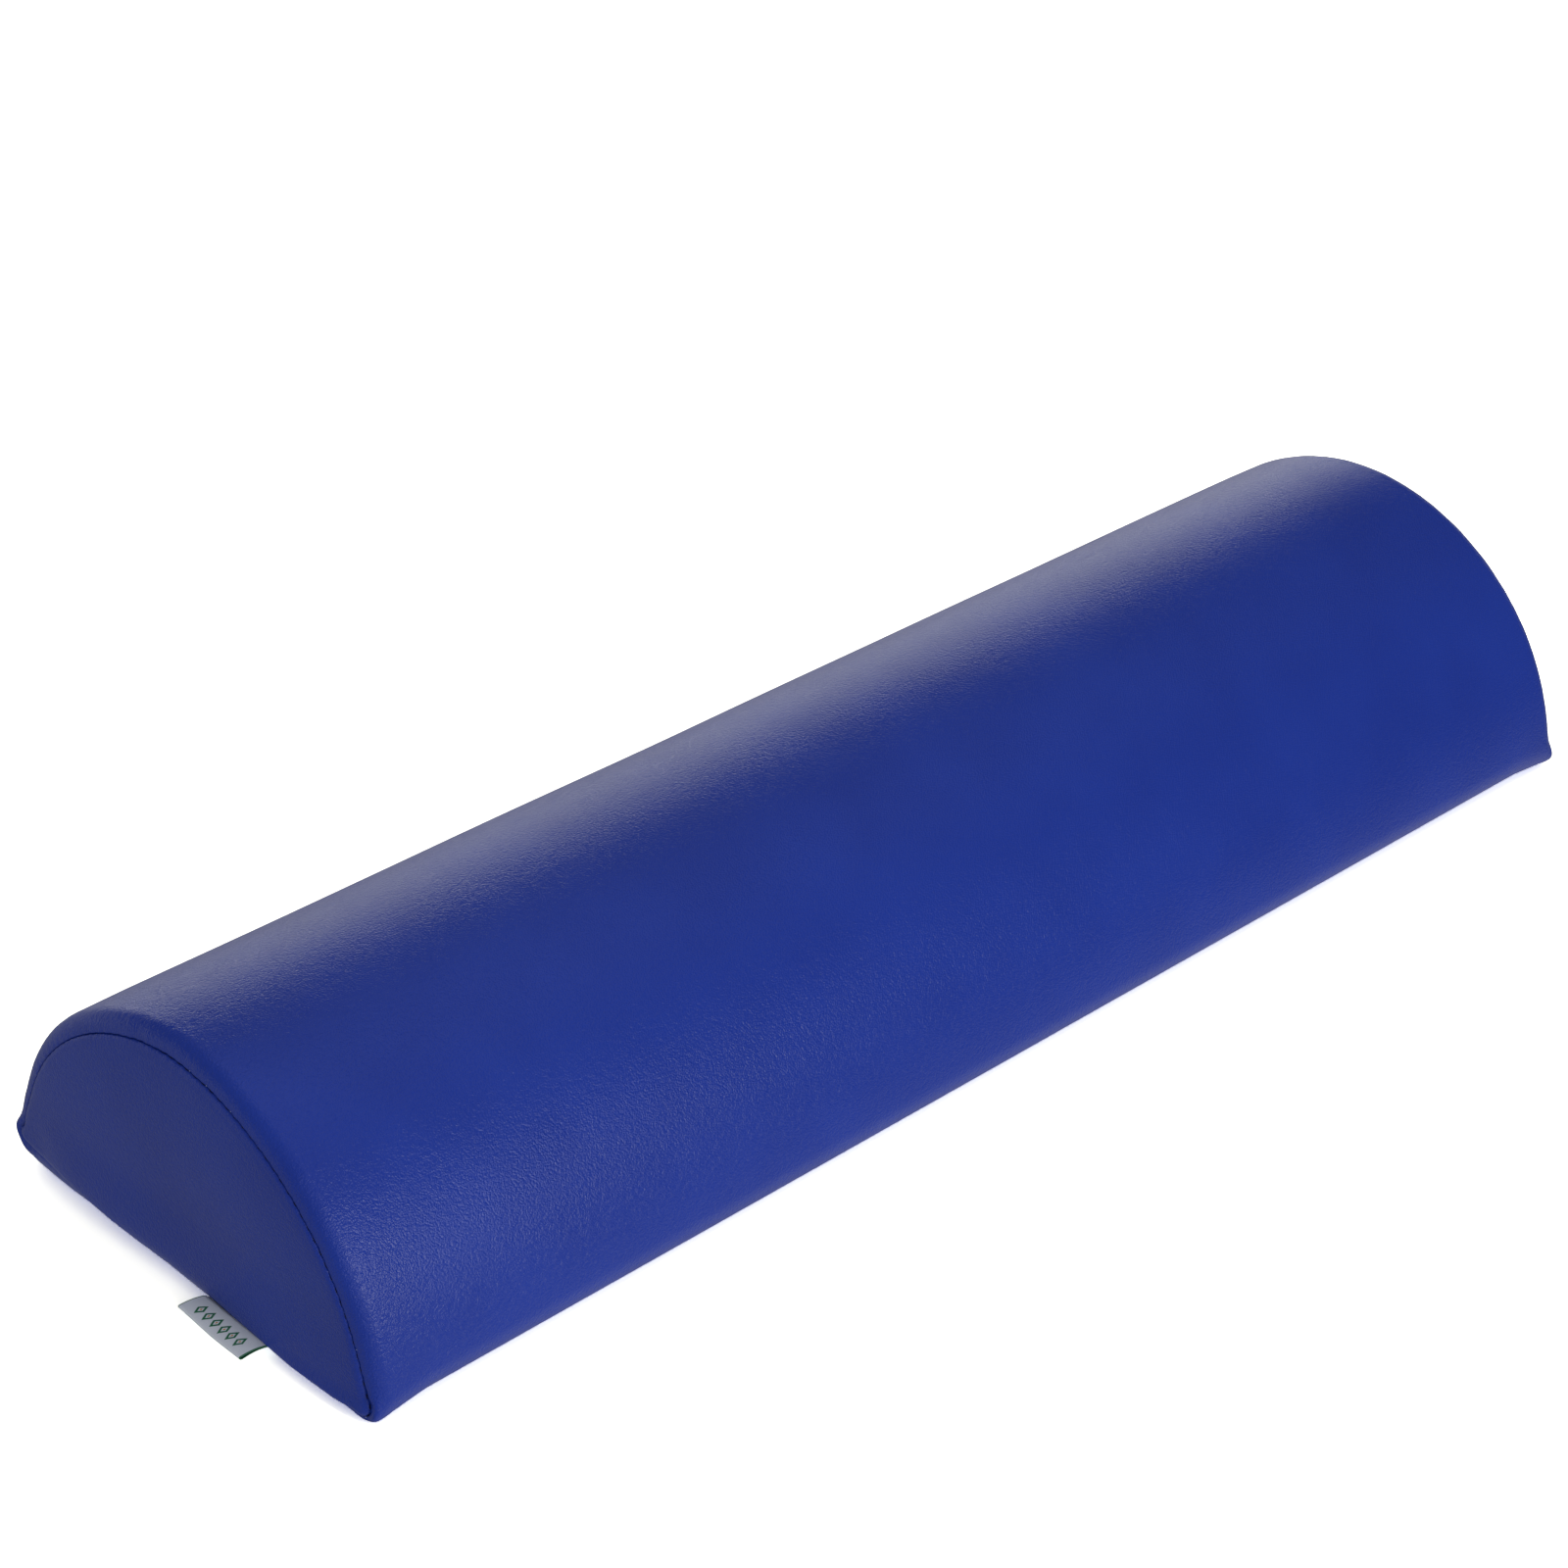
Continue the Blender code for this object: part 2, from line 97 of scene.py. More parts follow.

# Relief of the vinyl
WAVE = 0.00030
RIPPLE = 0.00016
FINE_RIPPLE = 0.00007
PUCKER = 0.00016
STITCH_DENT = 0.00065
PINCH = 0.00018            # an end face's lip between stitches

# Places taken from the solids
CREST_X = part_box("body_panel")[1].x
FACE_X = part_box("plain_end_panel")[1].x
LABEL_LOW, LABEL_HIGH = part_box("side_label")
SLIDER_LOW, SLIDER_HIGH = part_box("zip_slider")
TAPE_LOW, TAPE_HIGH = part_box("zip_tape_back")
COIL_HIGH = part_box("zip_coil_back")[1]

# Section and length of the wrap, worked out from the sizes
CORNER_Y = WIDTH / 2 - CORNER
ARC_RADIUS = (CORNER_Y ** 2 + (HEIGHT - CORNER) ** 2 - CORNER ** 2) / (2 * (HEIGHT - 2 * CORNER))
ARC_Z = HEIGHT - ARC_RADIUS
ARC_START = math.atan2(CORNER - ARC_Z, CORNER_Y)
V_ARC = ARC_RADIUS * (math.pi / 2 - ARC_START)
V_BOTTOM = V_ARC + CORNER * (math.pi / 2 + ARC_START)
V_ZIP = V_BOTTOM + CORNER_Y
V_FOLD = V_ZIP - FOLD_HALF
LIP_X = CREST_X - LIP
LIP_IN = RIM - (RIM - LIP) * math.cos(RIM_TURN)
SEAM_IN = LIP_IN + LIP
RIM_X = LIP_X - (RIM - LIP) * math.sin(RIM_TURN)
S_LIP = RIM_X + RIM * RIM_TURN
S_CREST = S_LIP + LIP * (math.pi / 2 - RIM_TURN)
S_SEAM = S_LIP + LIP * (math.pi - RIM_TURN)


# Wrapping

def around(v):
    """Places and outward normals in the section, for distances v round it from the crown."""
    far = np.abs(v)
    side = np.where(v < 0, -1.0, 1.0)
    on_arc = far / ARC_RADIUS
    on_corner = ARC_START - (far - V_ARC) / CORNER
    arc = far <= V_ARC
    corner = (far > V_ARC) & (far <= V_BOTTOM)
    y = np.where(arc, ARC_RADIUS * np.sin(on_arc),
                 np.where(corner, CORNER_Y + CORNER * np.cos(on_corner),
                          CORNER_Y - (far - V_BOTTOM)))
    z = np.where(arc, ARC_Z + ARC_RADIUS * np.cos(on_arc),
                 np.where(corner, CORNER + CORNER * np.sin(on_corner), 0.0))
    ny = np.where(arc, np.sin(on_arc), np.where(corner, np.cos(on_corner), 0.0))
    nz = np.where(arc, np.cos(on_arc), np.where(corner, np.sin(on_corner), -1.0))
    return side * y, z, side * ny, nz


def along(s):
    """Inset, place along X and normal of the body panel, for distances s along it."""
    far = np.abs(s)
    rim = np.clip((far - RIM_X) / RIM, 0.0, RIM_TURN)
    turn = rim + np.clip((far - S_LIP) / LIP, 0.0, math.pi - RIM_TURN)
    past = np.clip(far - S_SEAM, 0.0, None)
    lip = far > S_LIP
    inset = np.where(lip, LIP_IN - LIP * np.cos(turn), RIM - RIM * np.cos(turn))
    x = np.where(lip, LIP_X + LIP * np.sin(turn), RIM_X + RIM * np.sin(turn))
    x = np.where(far < RIM_X, far, x - past)
    end = np.where(s < 0, -1.0, 1.0)
    return inset, end * x, -np.cos(turn), end * np.sin(turn)


def place(v, inset, x):
    y, z, ny, nz = around(v)
    return np.stack([x, y - inset * ny, z - inset * nz], axis=1)


def mottled(a, b, c):
    """Smooth noise over two coordinates."""
    return np.array([noise.noise(Vector((p, q, c))) for p, q in zip(a, b)])


def near(value, middle, reach):
    """1 at the middle, falling smoothly to 0 at the reach."""
    t = np.clip(1.0 - np.abs(value - middle) / reach, 0.0, 1.0)
    return t * t * (3.0 - 2.0 * t)


def stitch_wave(v):
    """1 where a stitch of the end seam pulls the lips together, 0 between stitches."""
    return (0.5 + 0.5 * np.cos(2 * math.pi * v / SEAM_PITCH)) ** 2


def ramp(value, start, stop):
    """0 before the start, 1 after the stop, smooth between them."""
    t = np.clip((value - start) / (stop - start), 0.0, 1.0)
    return t * t * (3.0 - 2.0 * t)


def hand_sewn(places):
    """The uneven bottom edge at each end: the seam dips at the front and is drawn in."""
    x, y, z = places.T
    at_end = ramp(np.abs(x), CREST_X - 0.016, CREST_X - 0.003)
    climb = np.clip((y + 0.005) / 0.100, 0.0, 1.0) ** 1.3
    lift = (SEAM_CLIMB * climb - SEAM_DIP) * at_end
    share = np.where(z < SEAM_IN, np.clip(z / SEAM_IN, 0.0, 1.0),
                     1.0 - ramp(z, SEAM_IN, SEAM_IN + 0.034))
    drawn = np.interp(y, EDGE_PLACES, EDGE_DRAWN)
    drawn = drawn * at_end * (1.0 - ramp(z, SEAM_IN + 0.0004, SEAM_IN + 0.0060))
    out = BACK_OUT * ramp(y, -0.005, 0.080) * at_end * (x < 0)
    return np.stack([x + np.sign(x) * (out - drawn), y, z + lift * share], axis=1)


def by_side(pair, v):
    """The value for the front or the back, by the side of the crown."""
    return np.where(v < 0, pair[-1], pair[1])


def ear_turn(v):
    """Distance round the section to the ear on the same side."""
    back = V_ARC + CORNER * (ARC_START - EAR_TURNS[1])
    front = V_ARC + CORNER * (ARC_START - EAR_TURNS[-1])
    return np.where(v < 0, front, back)


def corner_pull(v):
    """How far the end seam comes out towards the outline at the bottom corners."""
    return CORNER_PULL * near(np.abs(v), ear_turn(v), 0.010)


def shoulder(v):
    """How far the cover is drawn in at the end seam: not at the bottom, where it is loose."""
    return SHOULDER * (1.0 - ramp(np.abs(v), 0.80 * V_ARC, V_ARC + 0.004))


def tapered(s, v):
    """The same along the cover, fading away from the seam."""
    return shoulder(v) * np.exp(-np.clip(S_CREST - np.abs(s), 0.0, None) / 0.009)


def relief(s, v):
    """Height of the vinyl above its taut shape: soft waves, puckers and stitch dents."""
    far = np.abs(s)
    under = np.clip((np.abs(v) - V_ARC) / (V_BOTTOM - V_ARC), 0.0, 1.0)
    waves = WAVE * mottled(s / 0.085, v / 0.060, 3.1) * (1.0 - under)
    to_seam = np.clip(S_CREST - far, 0.0, None)
    ripples = FINE_RIPPLE * mottled(s / 0.012, v / 0.0032, 8.7) * np.exp(-to_seam / 0.007)
    ripples += RIPPLE * mottled(s / 0.030, v / 0.0085, 1.9) * np.exp(-to_seam / 0.016)
    pucker = -PUCKER * stitch_wave(v) * np.exp(-to_seam / 0.0018)
    total = waves + (ripples * (1.0 - 0.7 * under) + pucker) * (far < S_SEAM)
    dent = STITCH_DENT * near(V_ZIP - np.abs(v), TOPSTITCH_OFFSET, 0.0016) * (far < S_LIP)
    return np.where(under >= 1.0, np.minimum(total, 0.0), total) - dent


def ears(s, v, inset, x):
    """Inset and place along X with the bottom corners standing out as blunt folded ears."""
    far = np.abs(s)
    span = np.where(np.abs(v) > ear_turn(v), by_side(EAR_SPAN_BELOW, v), by_side(EAR_SPAN, v))
    share = near(np.abs(v), ear_turn(v), span) * ramp(S_SEAM - far, 0.0, S_SEAM - S_CREST)
    bend = S_LIP - EAR_NOSE * RIM_TURN
    turn = np.clip((far - bend) / EAR_NOSE, 0.0, RIM_TURN)
    bend_x = RIM_X + (RIM - EAR_NOSE) * math.sin(RIM_TURN)
    nose_x = np.interp(far, (0.0, RIM_X, bend), (0.0, RIM_X, bend_x)) + EAR_NOSE * np.sin(turn)
    nose_x = np.where(far > S_LIP, np.abs(x), nose_x)
    at_lip = RIM * (1.0 - math.cos(RIM_TURN)) - corner_pull(v)
    nose_in = EAR_NOSE * (1.0 - np.cos(turn))
    nose_in = nose_in + np.where(far > S_LIP, inset - at_lip, 0.0)
    out = by_side(EAR_OUT, v) * share * ramp(far, RIM_X, S_LIP)
    nose_x = np.abs(x) + share * (nose_x - np.abs(x)) + out
    return inset + share * (nose_in - inset), np.sign(s) * nose_x


def wrap(points, lively=True):
    """Flat work wrapped round the foam: (s, v, height) to places in the frame."""
    s, v, height = points.T
    if lively:
        height = height + relief(s, v)
    inset, x, n_in, n_x = along(s)
    inset = inset + height * n_in + tapered(s, v)
    x = x + height * n_x
    if lively:
        over_rim = np.clip((np.abs(s) - RIM_X) / (S_LIP - RIM_X), 0.0, 1.0)
        inset = inset - corner_pull(v) * over_rim ** 1.5
        inset, x = ears(s, v, inset, x)
        return hand_sewn(place(v, inset, x))
    return place(v, inset, x)


def under(points):
    """Zip work laid in the underside: (s, y, depth above the floor) to places."""
    s, y, depth = points.T
    far = np.abs(s)
    end = np.where(s < 0, -1.0, 1.0)
    turn = np.clip((far - RIM_X) / RIM, 0.0, RIM_TURN)
    past = np.clip(far - S_LIP, 0.0, None)
    x = np.where(far < RIM_X, far, RIM_X + RIM * np.sin(turn) + past * np.cos(turn))
    z = RIM - RIM * np.cos(turn) + past * np.sin(turn)
    x = x - depth * np.sin(turn)
    z = z + depth * np.cos(turn)
    return hand_sewn(np.stack([end * x, y, z], axis=1))


# Modelling helpers

def deselect_all():
    if bpy.context.object and bpy.context.object.mode != "OBJECT":
        bpy.ops.object.mode_set(mode="OBJECT")
    bpy.ops.object.select_all(action="DESELECT")


def only(piece):
    deselect_all()
    piece.select_set(True)
    bpy.context.view_layer.objects.active = piece


def named(name):
    """Name the new primitive, which is then the only thing selected."""
    piece = bpy.context.active_object
    piece.name = piece.data.name = name
    only(piece)
    return piece


def settle(piece):
    """Put a primitive's place, turn and size into its mesh."""
    only(piece)
    bpy.ops.object.transform_apply(location=True, rotation=True, scale=True)


def grid(name, x_count, y_count, low, high):
    """A flat grid between two corners, its size and place in its mesh."""
    deselect_all()
    middle = ((low[0] + high[0]) / 2, (low[1] + high[1]) / 2, 0.0)
    bpy.ops.mesh.primitive_grid_add(x_subdivisions=x_count, y_subdivisions=y_count, size=1.0,
                                    location=middle)
    piece = named(name)
    piece.scale = (high[0] - low[0], high[1] - low[1], 1.0)
    settle(piece)
    return piece


def edit(piece):
    only(piece)
    bpy.ops.object.mode_set(mode="EDIT")


def apply_all(piece):
    only(piece)
    for modifier in list(piece.modifiers):
        bpy.ops.object.modifier_apply(modifier=modifier.name)


def select_where(piece, test, kind="EDGE"):
    """In edit mode, select the edges or faces whose points all pass the test."""
    bpy.ops.mesh.select_mode(type=kind)
    bpy.ops.mesh.select_all(action="DESELECT")
    work = bmesh.from_edit_mesh(piece.data)
    for part in (work.edges if kind == "EDGE" else work.faces):
        part.select_set(all(test(vert.co) for vert in part.verts))
    bmesh.update_edit_mesh(piece.data)


def extrude_along(moves):
    for move in moves:
        bpy.ops.mesh.extrude_region_move(TRANSFORM_OT_translate={"value": move})


def steps(total, count):
    return [total / count] * count


def read_points(piece):
    flat = np.zeros(len(piece.data.vertices) * 3)
    piece.data.vertices.foreach_get("co", flat)
    return flat.reshape(-1, 3)


def move_points(piece, rule):
    """Move every point of a piece by a rule that takes and gives an array of places."""
    only(piece)
    piece.data.vertices.foreach_set("co", rule(read_points(piece)).astype(float).ravel())
    piece.data.update()


def lay_uv(piece, rule):
    """A UV map that takes each point's place and gives its place on the cut pattern."""
    only(piece)
    placed = rule(read_points(piece))
    corners = np.zeros(len(piece.data.loops), dtype=int)
    piece.data.loops.foreach_get("vertex_index", corners)
    while piece.data.uv_layers:
        piece.data.uv_layers.remove(piece.data.uv_layers[0])
    layer = piece.data.uv_layers.new(name="cut")
    layer.data.foreach_set("uv", placed[corners].ravel())


def face_outwards(piece):
    edit(piece)
    bpy.ops.mesh.select_all(action="SELECT")
    bpy.ops.mesh.normals_make_consistent(inside=False)
    bpy.ops.object.mode_set(mode="OBJECT")


def merge_doubles(piece, distance=0.00001):
    edit(piece)
    bpy.ops.mesh.select_all(action="SELECT")
    bpy.ops.mesh.remove_doubles(threshold=distance)
    bpy.ops.object.mode_set(mode="OBJECT")


def thicken(piece, thickness, inner_material=0):
    solid = piece.modifiers.new("thickness", "SOLIDIFY")
    solid.thickness = thickness
    solid.offset = -1.0
    solid.material_offset = inner_material
    apply_all(piece)


def repeat(piece, count, pitch):
    """A row of copies along X, centred on the middle."""
    row = piece.modifiers.new("row", "ARRAY")
    row.count = count
    row.use_relative_offset = False
    row.use_constant_offset = True
    row.constant_offset_displace = (pitch, 0.0, 0.0)
    apply_all(piece)
    move_points(piece, lambda points: points - np.array([(count - 1) * pitch / 2, 0.0, 0.0]))


def smooth(piece, angle=50):
    only(piece)
    bpy.ops.object.shade_smooth_by_angle(angle=math.radians(angle))


def finish(piece, materials, body, slot, *nodes):
    for material in materials:
        if material.name not in piece.data.materials:
            piece.data.materials.append(material)
    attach(piece, body)
    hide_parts(*nodes)
    return piece


# Materials

class Finish:
    """A material being built: its nodes are added by kind and linked by socket name."""

    def __init__(self, name, roughness, metallic=0.0, specular=0.5):
        self.material = bpy.data.materials.new(name)
        self.material.use_nodes = True
        self.tree = self.material.node_tree
        self.shader = self.tree.nodes["Principled BSDF"]
        self.shader.inputs["Roughness"].default_value = roughness
        self.shader.inputs["Metallic"].default_value = metallic
        self.shader.inputs["Specular IOR Level"].default_value = specular

    def node(self, kind, inputs=None, **settings):
        made = self.tree.nodes.new("ShaderNode" + kind)
        for key, value in settings.items():
            setattr(made, key, value)
        for key, value in (inputs or {}).items():
            made.inputs[key].default_value = value
        return made

    def link(self, source, socket, target, into):
        self.tree.links.new(source.outputs[socket], target.inputs[into])

    def mapping(self, kind="Object", scale=(1.0, 1.0, 1.0)):
        coordinates = self.node("TexCoord")
        mapping = self.node("Mapping", {"Scale": scale})
        self.link(coordinates, kind, mapping, "Vector")
        return mapping

    def noise(self, mapping, scale, detail=2.0):
        made = self.node("TexNoise", {"Scale": scale, "Detail": detail})
        self.link(mapping, "Vector", made, "Vector")
        return made

    def wave(self, mapping, scale, direction, distortion=0.0):
        made = self.node("TexWave", {"Scale": scale, "Distortion": distortion},
                         bands_direction=direction)
        self.link(mapping, "Vector", made, "Vector")
        return made

    def math(self, operation, first, second=None):
        """A math node on two values, each a number or a (node, socket) pair."""
        made = self.node("Math", operation=operation)
        for index, value in enumerate([first, second]):
            if isinstance(value, tuple):
                self.tree.links.new(value[0].outputs[value[1]], made.inputs[index])
            elif value is not None:
                made.inputs[index].default_value = value
        return (made, "Value")

    def two_tone(self, source, dark, light, low=0.0, high=1.0):
        tones = self.node("ValToRGB")
        first, second = tones.color_ramp.elements
        first.position, second.position = low, high
        first.color, second.color = (*dark, 1.0), (*light, 1.0)
        self.link(source[0], source[1], tones, "Fac")
        return tones

    def colour_from(self, source, socket="Color"):
        self.link(source, socket, self.shader, "Base Color")

    def bump(self, source, strength, distance, below=None):
        bump = self.node("Bump", {"Strength": strength, "Distance": distance})
        self.link(source[0], source[1], bump, "Height")
        if below:
            self.link(below, "Normal", bump, "Normal")
        return bump

    def normal_from(self, bump):
        self.link(bump, "Normal", self.shader, "Normal")


VINYL_DARK = (0.0066, 0.0256, 0.236)
VINYL_LIGHT = (0.0078, 0.0294, 0.260)
VINYL_ROUGHNESS = 0.33
VINYL_SPECULAR = 0.28
GRAIN_TURN = (0.61, 0.42, 0.53)   # off the axes, so that the noise shows no rows


def vinyl_finish():
    """Royal blue vinyl: fine pebbles, faint creases, and grain drawn out beside the seams."""
    vinyl = Finish("royal_blue_vinyl", VINYL_ROUGHNESS, specular=VINYL_SPECULAR)
    spot = vinyl.mapping()
    spot.inputs["Rotation"].default_value = GRAIN_TURN
    wobble = vinyl.noise(spot, 500.0, 1.0)
    push = vinyl.node("VectorMath", {"Scale": 0.0015}, operation="SCALE")
    vinyl.link(wobble, "Color", push, 0)
    bent = vinyl.node("VectorMath", operation="ADD")
    vinyl.link(spot, "Vector", bent, 0)
    vinyl.link(push, "Vector", bent, 1)
    cells = vinyl.node("TexVoronoi", {"Scale": 1400.0})
    vinyl.link(bent, "Vector", cells, "Vector")
    creases = vinyl.noise(spot, 650.0, 2.0)
    mottle = vinyl.noise(spot, 24.0)
    vinyl.colour_from(vinyl.two_tone((mottle, "Fac"), VINYL_DARK, VINYL_LIGHT, 0.3, 0.7))
    rough = vinyl.node("MapRange", {"To Min": VINYL_ROUGHNESS - 0.06,
                                    "To Max": VINYL_ROUGHNESS + 0.06})
    vinyl.link(creases, "Fac", rough, "Value")
    vinyl.link(rough, "Result", vinyl.shader, "Roughness")

    cut = vinyl.mapping("UV", (420.0, 1400.0, 1.0))
    drawn = vinyl.noise(cut, 1.0, 1.0)
    split = vinyl.node("SeparateXYZ")
    vinyl.link(vinyl.node("TexCoord"), "UV", split, "Vector")
    beside_seam = vinyl.node("MapRange", {"From Max": 0.015, "To Min": 1.0, "To Max": 0.0})
    vinyl.link(split, "X", beside_seam, "Value")
    streaks = vinyl.math("MULTIPLY", (drawn, "Fac"), (beside_seam, "Result"))

    pebbles = vinyl.bump((cells, "Distance"), 0.6, 0.00024)
    pebbles.invert = True
    creased = vinyl.bump((creases, "Fac"), 0.42, 0.0003, below=pebbles)
    vinyl.normal_from(vinyl.bump(streaks, 0.5, 0.0003, below=creased))
    return vinyl.material


def foam_finish():
    """Cream foam with open cells of about half a millimetre."""
    foam = Finish("cream_foam", 0.95, specular=0.15)
    spot = foam.mapping()
    cells = foam.node("TexVoronoi", {"Scale": 1500.0})
    foam.link(spot, "Vector", cells, "Vector")
    blotch = foam.noise(spot, 35.0, 4.0)
    dark, light = (0.52, 0.48, 0.42), (0.66, 0.63, 0.57)
    foam.colour_from(foam.two_tone((blotch, "Fac"), dark, light, 0.3, 0.7))
    foam.normal_from(foam.bump((cells, "Distance"), 0.8, 0.0004))
    return foam.material


def tape_finish():
    """Black zip tape: fine ribs across and picks along the tape."""
    tape = Finish("black_zip_tape", 0.82, specular=0.25)
    spot = tape.mapping()
    ribs = tape.wave(spot, 420.0, "X", 0.6)
    picks = tape.wave(spot, 300.0, "Y", 0.4)
    tape.colour_from(tape.two_tone((ribs, "Fac"), (0.006, 0.006, 0.007), (0.022, 0.022, 0.025)))
    below = tape.bump((picks, "Fac"), 0.5, 0.0001)
    tape.normal_from(tape.bump((ribs, "Fac"), 0.7, 0.00012, below=below))
    return tape.material


def coil_finish():
    """Black nylon teeth with a satin polish and a little dust."""
    coil = Finish("nylon_teeth", 0.30)
    dust = coil.noise(coil.mapping(), 900.0)
    dark, light = (0.016, 0.016, 0.018), (0.050, 0.050, 0.055)
    coil.colour_from(coil.two_tone((dust, "Fac"), dark, light, 0.35, 0.7))
    coil.normal_from(coil.bump((dust, "Fac"), 0.15, 0.00005))
    return coil.material


def metal_finish():
    """Tumbled die-cast metal: satin, finely pitted."""
    metal = Finish("tumbled_metal", 0.38, metallic=1.0)
    pits = metal.noise(metal.mapping(), 2200.0, 3.0)
    dark, light = (0.40, 0.40, 0.41), (0.66, 0.66, 0.66)
    metal.colour_from(metal.two_tone((pits, "Fac"), dark, light, 0.3, 0.65))
    metal.normal_from(metal.bump((pits, "Fac"), 0.25, 0.00006))
    return metal.material


def thread_finish():
    """Dark navy sewing thread with a tight twist."""
    thread = Finish("navy_thread", 0.8, specular=0.1)
    twist = thread.wave(thread.mapping(), 900.0, "DIAGONAL", 0.3)
    thread.colour_from(thread.two_tone((twist, "Fac"), (0.003, 0.004, 0.018), (0.006, 0.008, 0.045)))
    thread.normal_from(thread.bump((twist, "Fac"), 0.5, 0.0001))
    return thread.material


def painted_glint_finish():
    """Pale bluish specks at the needle holes: painted highlights of the vinyl pinched there."""
    glint_paint = Finish("painted_needle_glint", 0.9, specular=0.2)
    fluff = glint_paint.noise(glint_paint.mapping(), 5000.0)
    glint_paint.colour_from(glint_paint.two_tone((fluff, "Fac"), (0.16, 0.19, 0.38), (0.42, 0.45, 0.62), 0.3, 0.7))
    glint_paint.normal_from(glint_paint.bump((fluff, "Fac"), 0.5, 0.0001))
    return glint_paint.material


def ribbon_finish():
    """White satin ribbon: green selvedges and a plain row of woven diamonds."""
    ribbon = Finish("satin_ribbon", 0.42, specular=0.5)
    uv = ribbon.mapping("UV")
    split = ribbon.node("SeparateXYZ")
    ribbon.link(uv, "Vector", split, "Vector")
    across, out = (split, "X"), (split, "Y")
    repeats = ribbon.math("MULTIPLY", across, 8.0)
    in_cell = ribbon.math("ABSOLUTE", ribbon.math("SUBTRACT", ribbon.math("FRACT", repeats), 0.5))
    from_row = ribbon.math("ABSOLUTE", ribbon.math("SUBTRACT", out, 0.70))
    diamond = ribbon.math("ADD", ribbon.math("MULTIPLY", in_cell, 2.5),
                          ribbon.math("MULTIPLY", from_row, 5.6))
    outside = ribbon.math("LESS_THAN", diamond, 1.0)
    inside = ribbon.math("GREATER_THAN", diamond, 0.50)
    row_ends = ribbon.math("ABSOLUTE", ribbon.math("SUBTRACT", across, 0.5))
    in_row = ribbon.math("LESS_THAN", row_ends, 0.375)
    motif = ribbon.math("MULTIPLY", ribbon.math("MULTIPLY", outside, inside), in_row)
    hearts = ribbon.math("MULTIPLY", ribbon.math("LESS_THAN", diamond, 0.22), in_row)
    selvedge = ribbon.math("GREATER_THAN", row_ends, 0.489)
    green = ribbon.math("MAXIMUM", motif, selvedge)

    weave = ribbon.wave(ribbon.mapping("UV"), 38.0, "X")
    white = ribbon.two_tone((weave, "Fac"), (0.50, 0.54, 0.62), (0.61, 0.65, 0.73))
    dyed = ribbon.node("Mix", data_type="RGBA")
    dyed.inputs[7].default_value = (0.004, 0.115, 0.048, 1.0)
    ribbon.tree.links.new(green[0].outputs[0], dyed.inputs[0])
    ribbon.tree.links.new(white.outputs["Color"], dyed.inputs[6])
    gilt = ribbon.node("Mix", data_type="RGBA")
    gilt.inputs[7].default_value = (0.46, 0.22, 0.012, 1.0)
    ribbon.tree.links.new(hearts[0].outputs[0], gilt.inputs[0])
    ribbon.tree.links.new(dyed.outputs[2], gilt.inputs[6])
    ribbon.tree.links.new(gilt.outputs[2], ribbon.shader.inputs["Base Color"])
    picks = ribbon.wave(uv, 22.0, "Y")
    below = ribbon.bump((picks, "Fac"), 0.35, 0.00005)
    ribbon.normal_from(ribbon.bump((weave, "Fac"), 0.3, 0.00005, below=below))
    return ribbon.material


def ribbon_back_finish():
    """The dark green reverse of the ribbon, seen inside its loop."""
    back = Finish("ribbon_reverse", 0.6, specular=0.3)
    floats = back.wave(back.mapping(), 700.0, "X", 1.0)
    back.colour_from(back.two_tone((floats, "Fac"), (0.003, 0.040, 0.018), (0.010, 0.100, 0.045)))
    back.normal_from(back.bump((floats, "Fac"), 0.5, 0.00006))
    return back.material


# Cover

def body_panel(vinyl):
    """The wrapped panel: cut flat, its zip edges folded under, its ends rolled into the seams."""
    flat_edge = V_FOLD - FOLD_ROLL
    panel = grid("cover_body_panel", 40, 412, (-RIM_X, -flat_edge), (RIM_X, flat_edge))
    edit(panel)
    pulls = steps(S_LIP - RIM_X, 11) + steps(S_SEAM - S_LIP, 6) + steps(ALLOWANCE, 4)
    for end in (-1, 1):
        select_where(panel, lambda co: co.x * end > RIM_X - 1e-5)
        extrude_along([(end * pull, 0.0, 0.0) for pull in pulls])
    turns = [math.pi * k / 6 for k in range(7)]
    bend = [(FOLD_ROLL * (math.sin(b) - math.sin(a)), FOLD_ROLL * (math.cos(b) - math.cos(a)))
            for a, b in zip(turns, turns[1:])]
    for side in (-1, 1):
        select_where(panel, lambda co: co.y * side > flat_edge - 1e-5 and abs(co.x) < S_LIP + 1e-5)
        extrude_along([(0.0, side * out, down) for out, down in bend])
        extrude_along([(0.0, -side * pull, 0.0) for pull in steps(HEM, 4)])
    bpy.ops.object.mode_set(mode="OBJECT")
    lay_uv(panel, lambda points: np.stack([S_SEAM - np.abs(points[:, 0]), points[:, 1]], axis=1))
    move_points(panel, wrap)
    face_outwards(panel)
    thicken(panel, VINYL)
    smooth(panel)
    finish(panel, [vinyl], "cover", "vinyl", "body_panel")
    return panel


def ringed_disc(name, rows, count):
    """A disc of rings: a circle extruded inwards row by row, its middle merged."""
    deselect_all()
    bpy.ops.mesh.primitive_circle_add(vertices=count, radius=1.0)
    piece = named(name)
    edit(piece)
    bpy.ops.mesh.select_all(action="SELECT")
    for row in range(1, rows):
        smaller = (rows - row) / (rows - row + 1)
        bpy.ops.mesh.extrude_region_move()
        bpy.ops.transform.resize(value=(smaller, smaller, 1.0), center_override=(0.0, 0.0, 0.0))
    bpy.ops.mesh.extrude_region_move()
    bpy.ops.mesh.merge(type="CENTER")
    bpy.ops.object.mode_set(mode="OBJECT")
    return piece


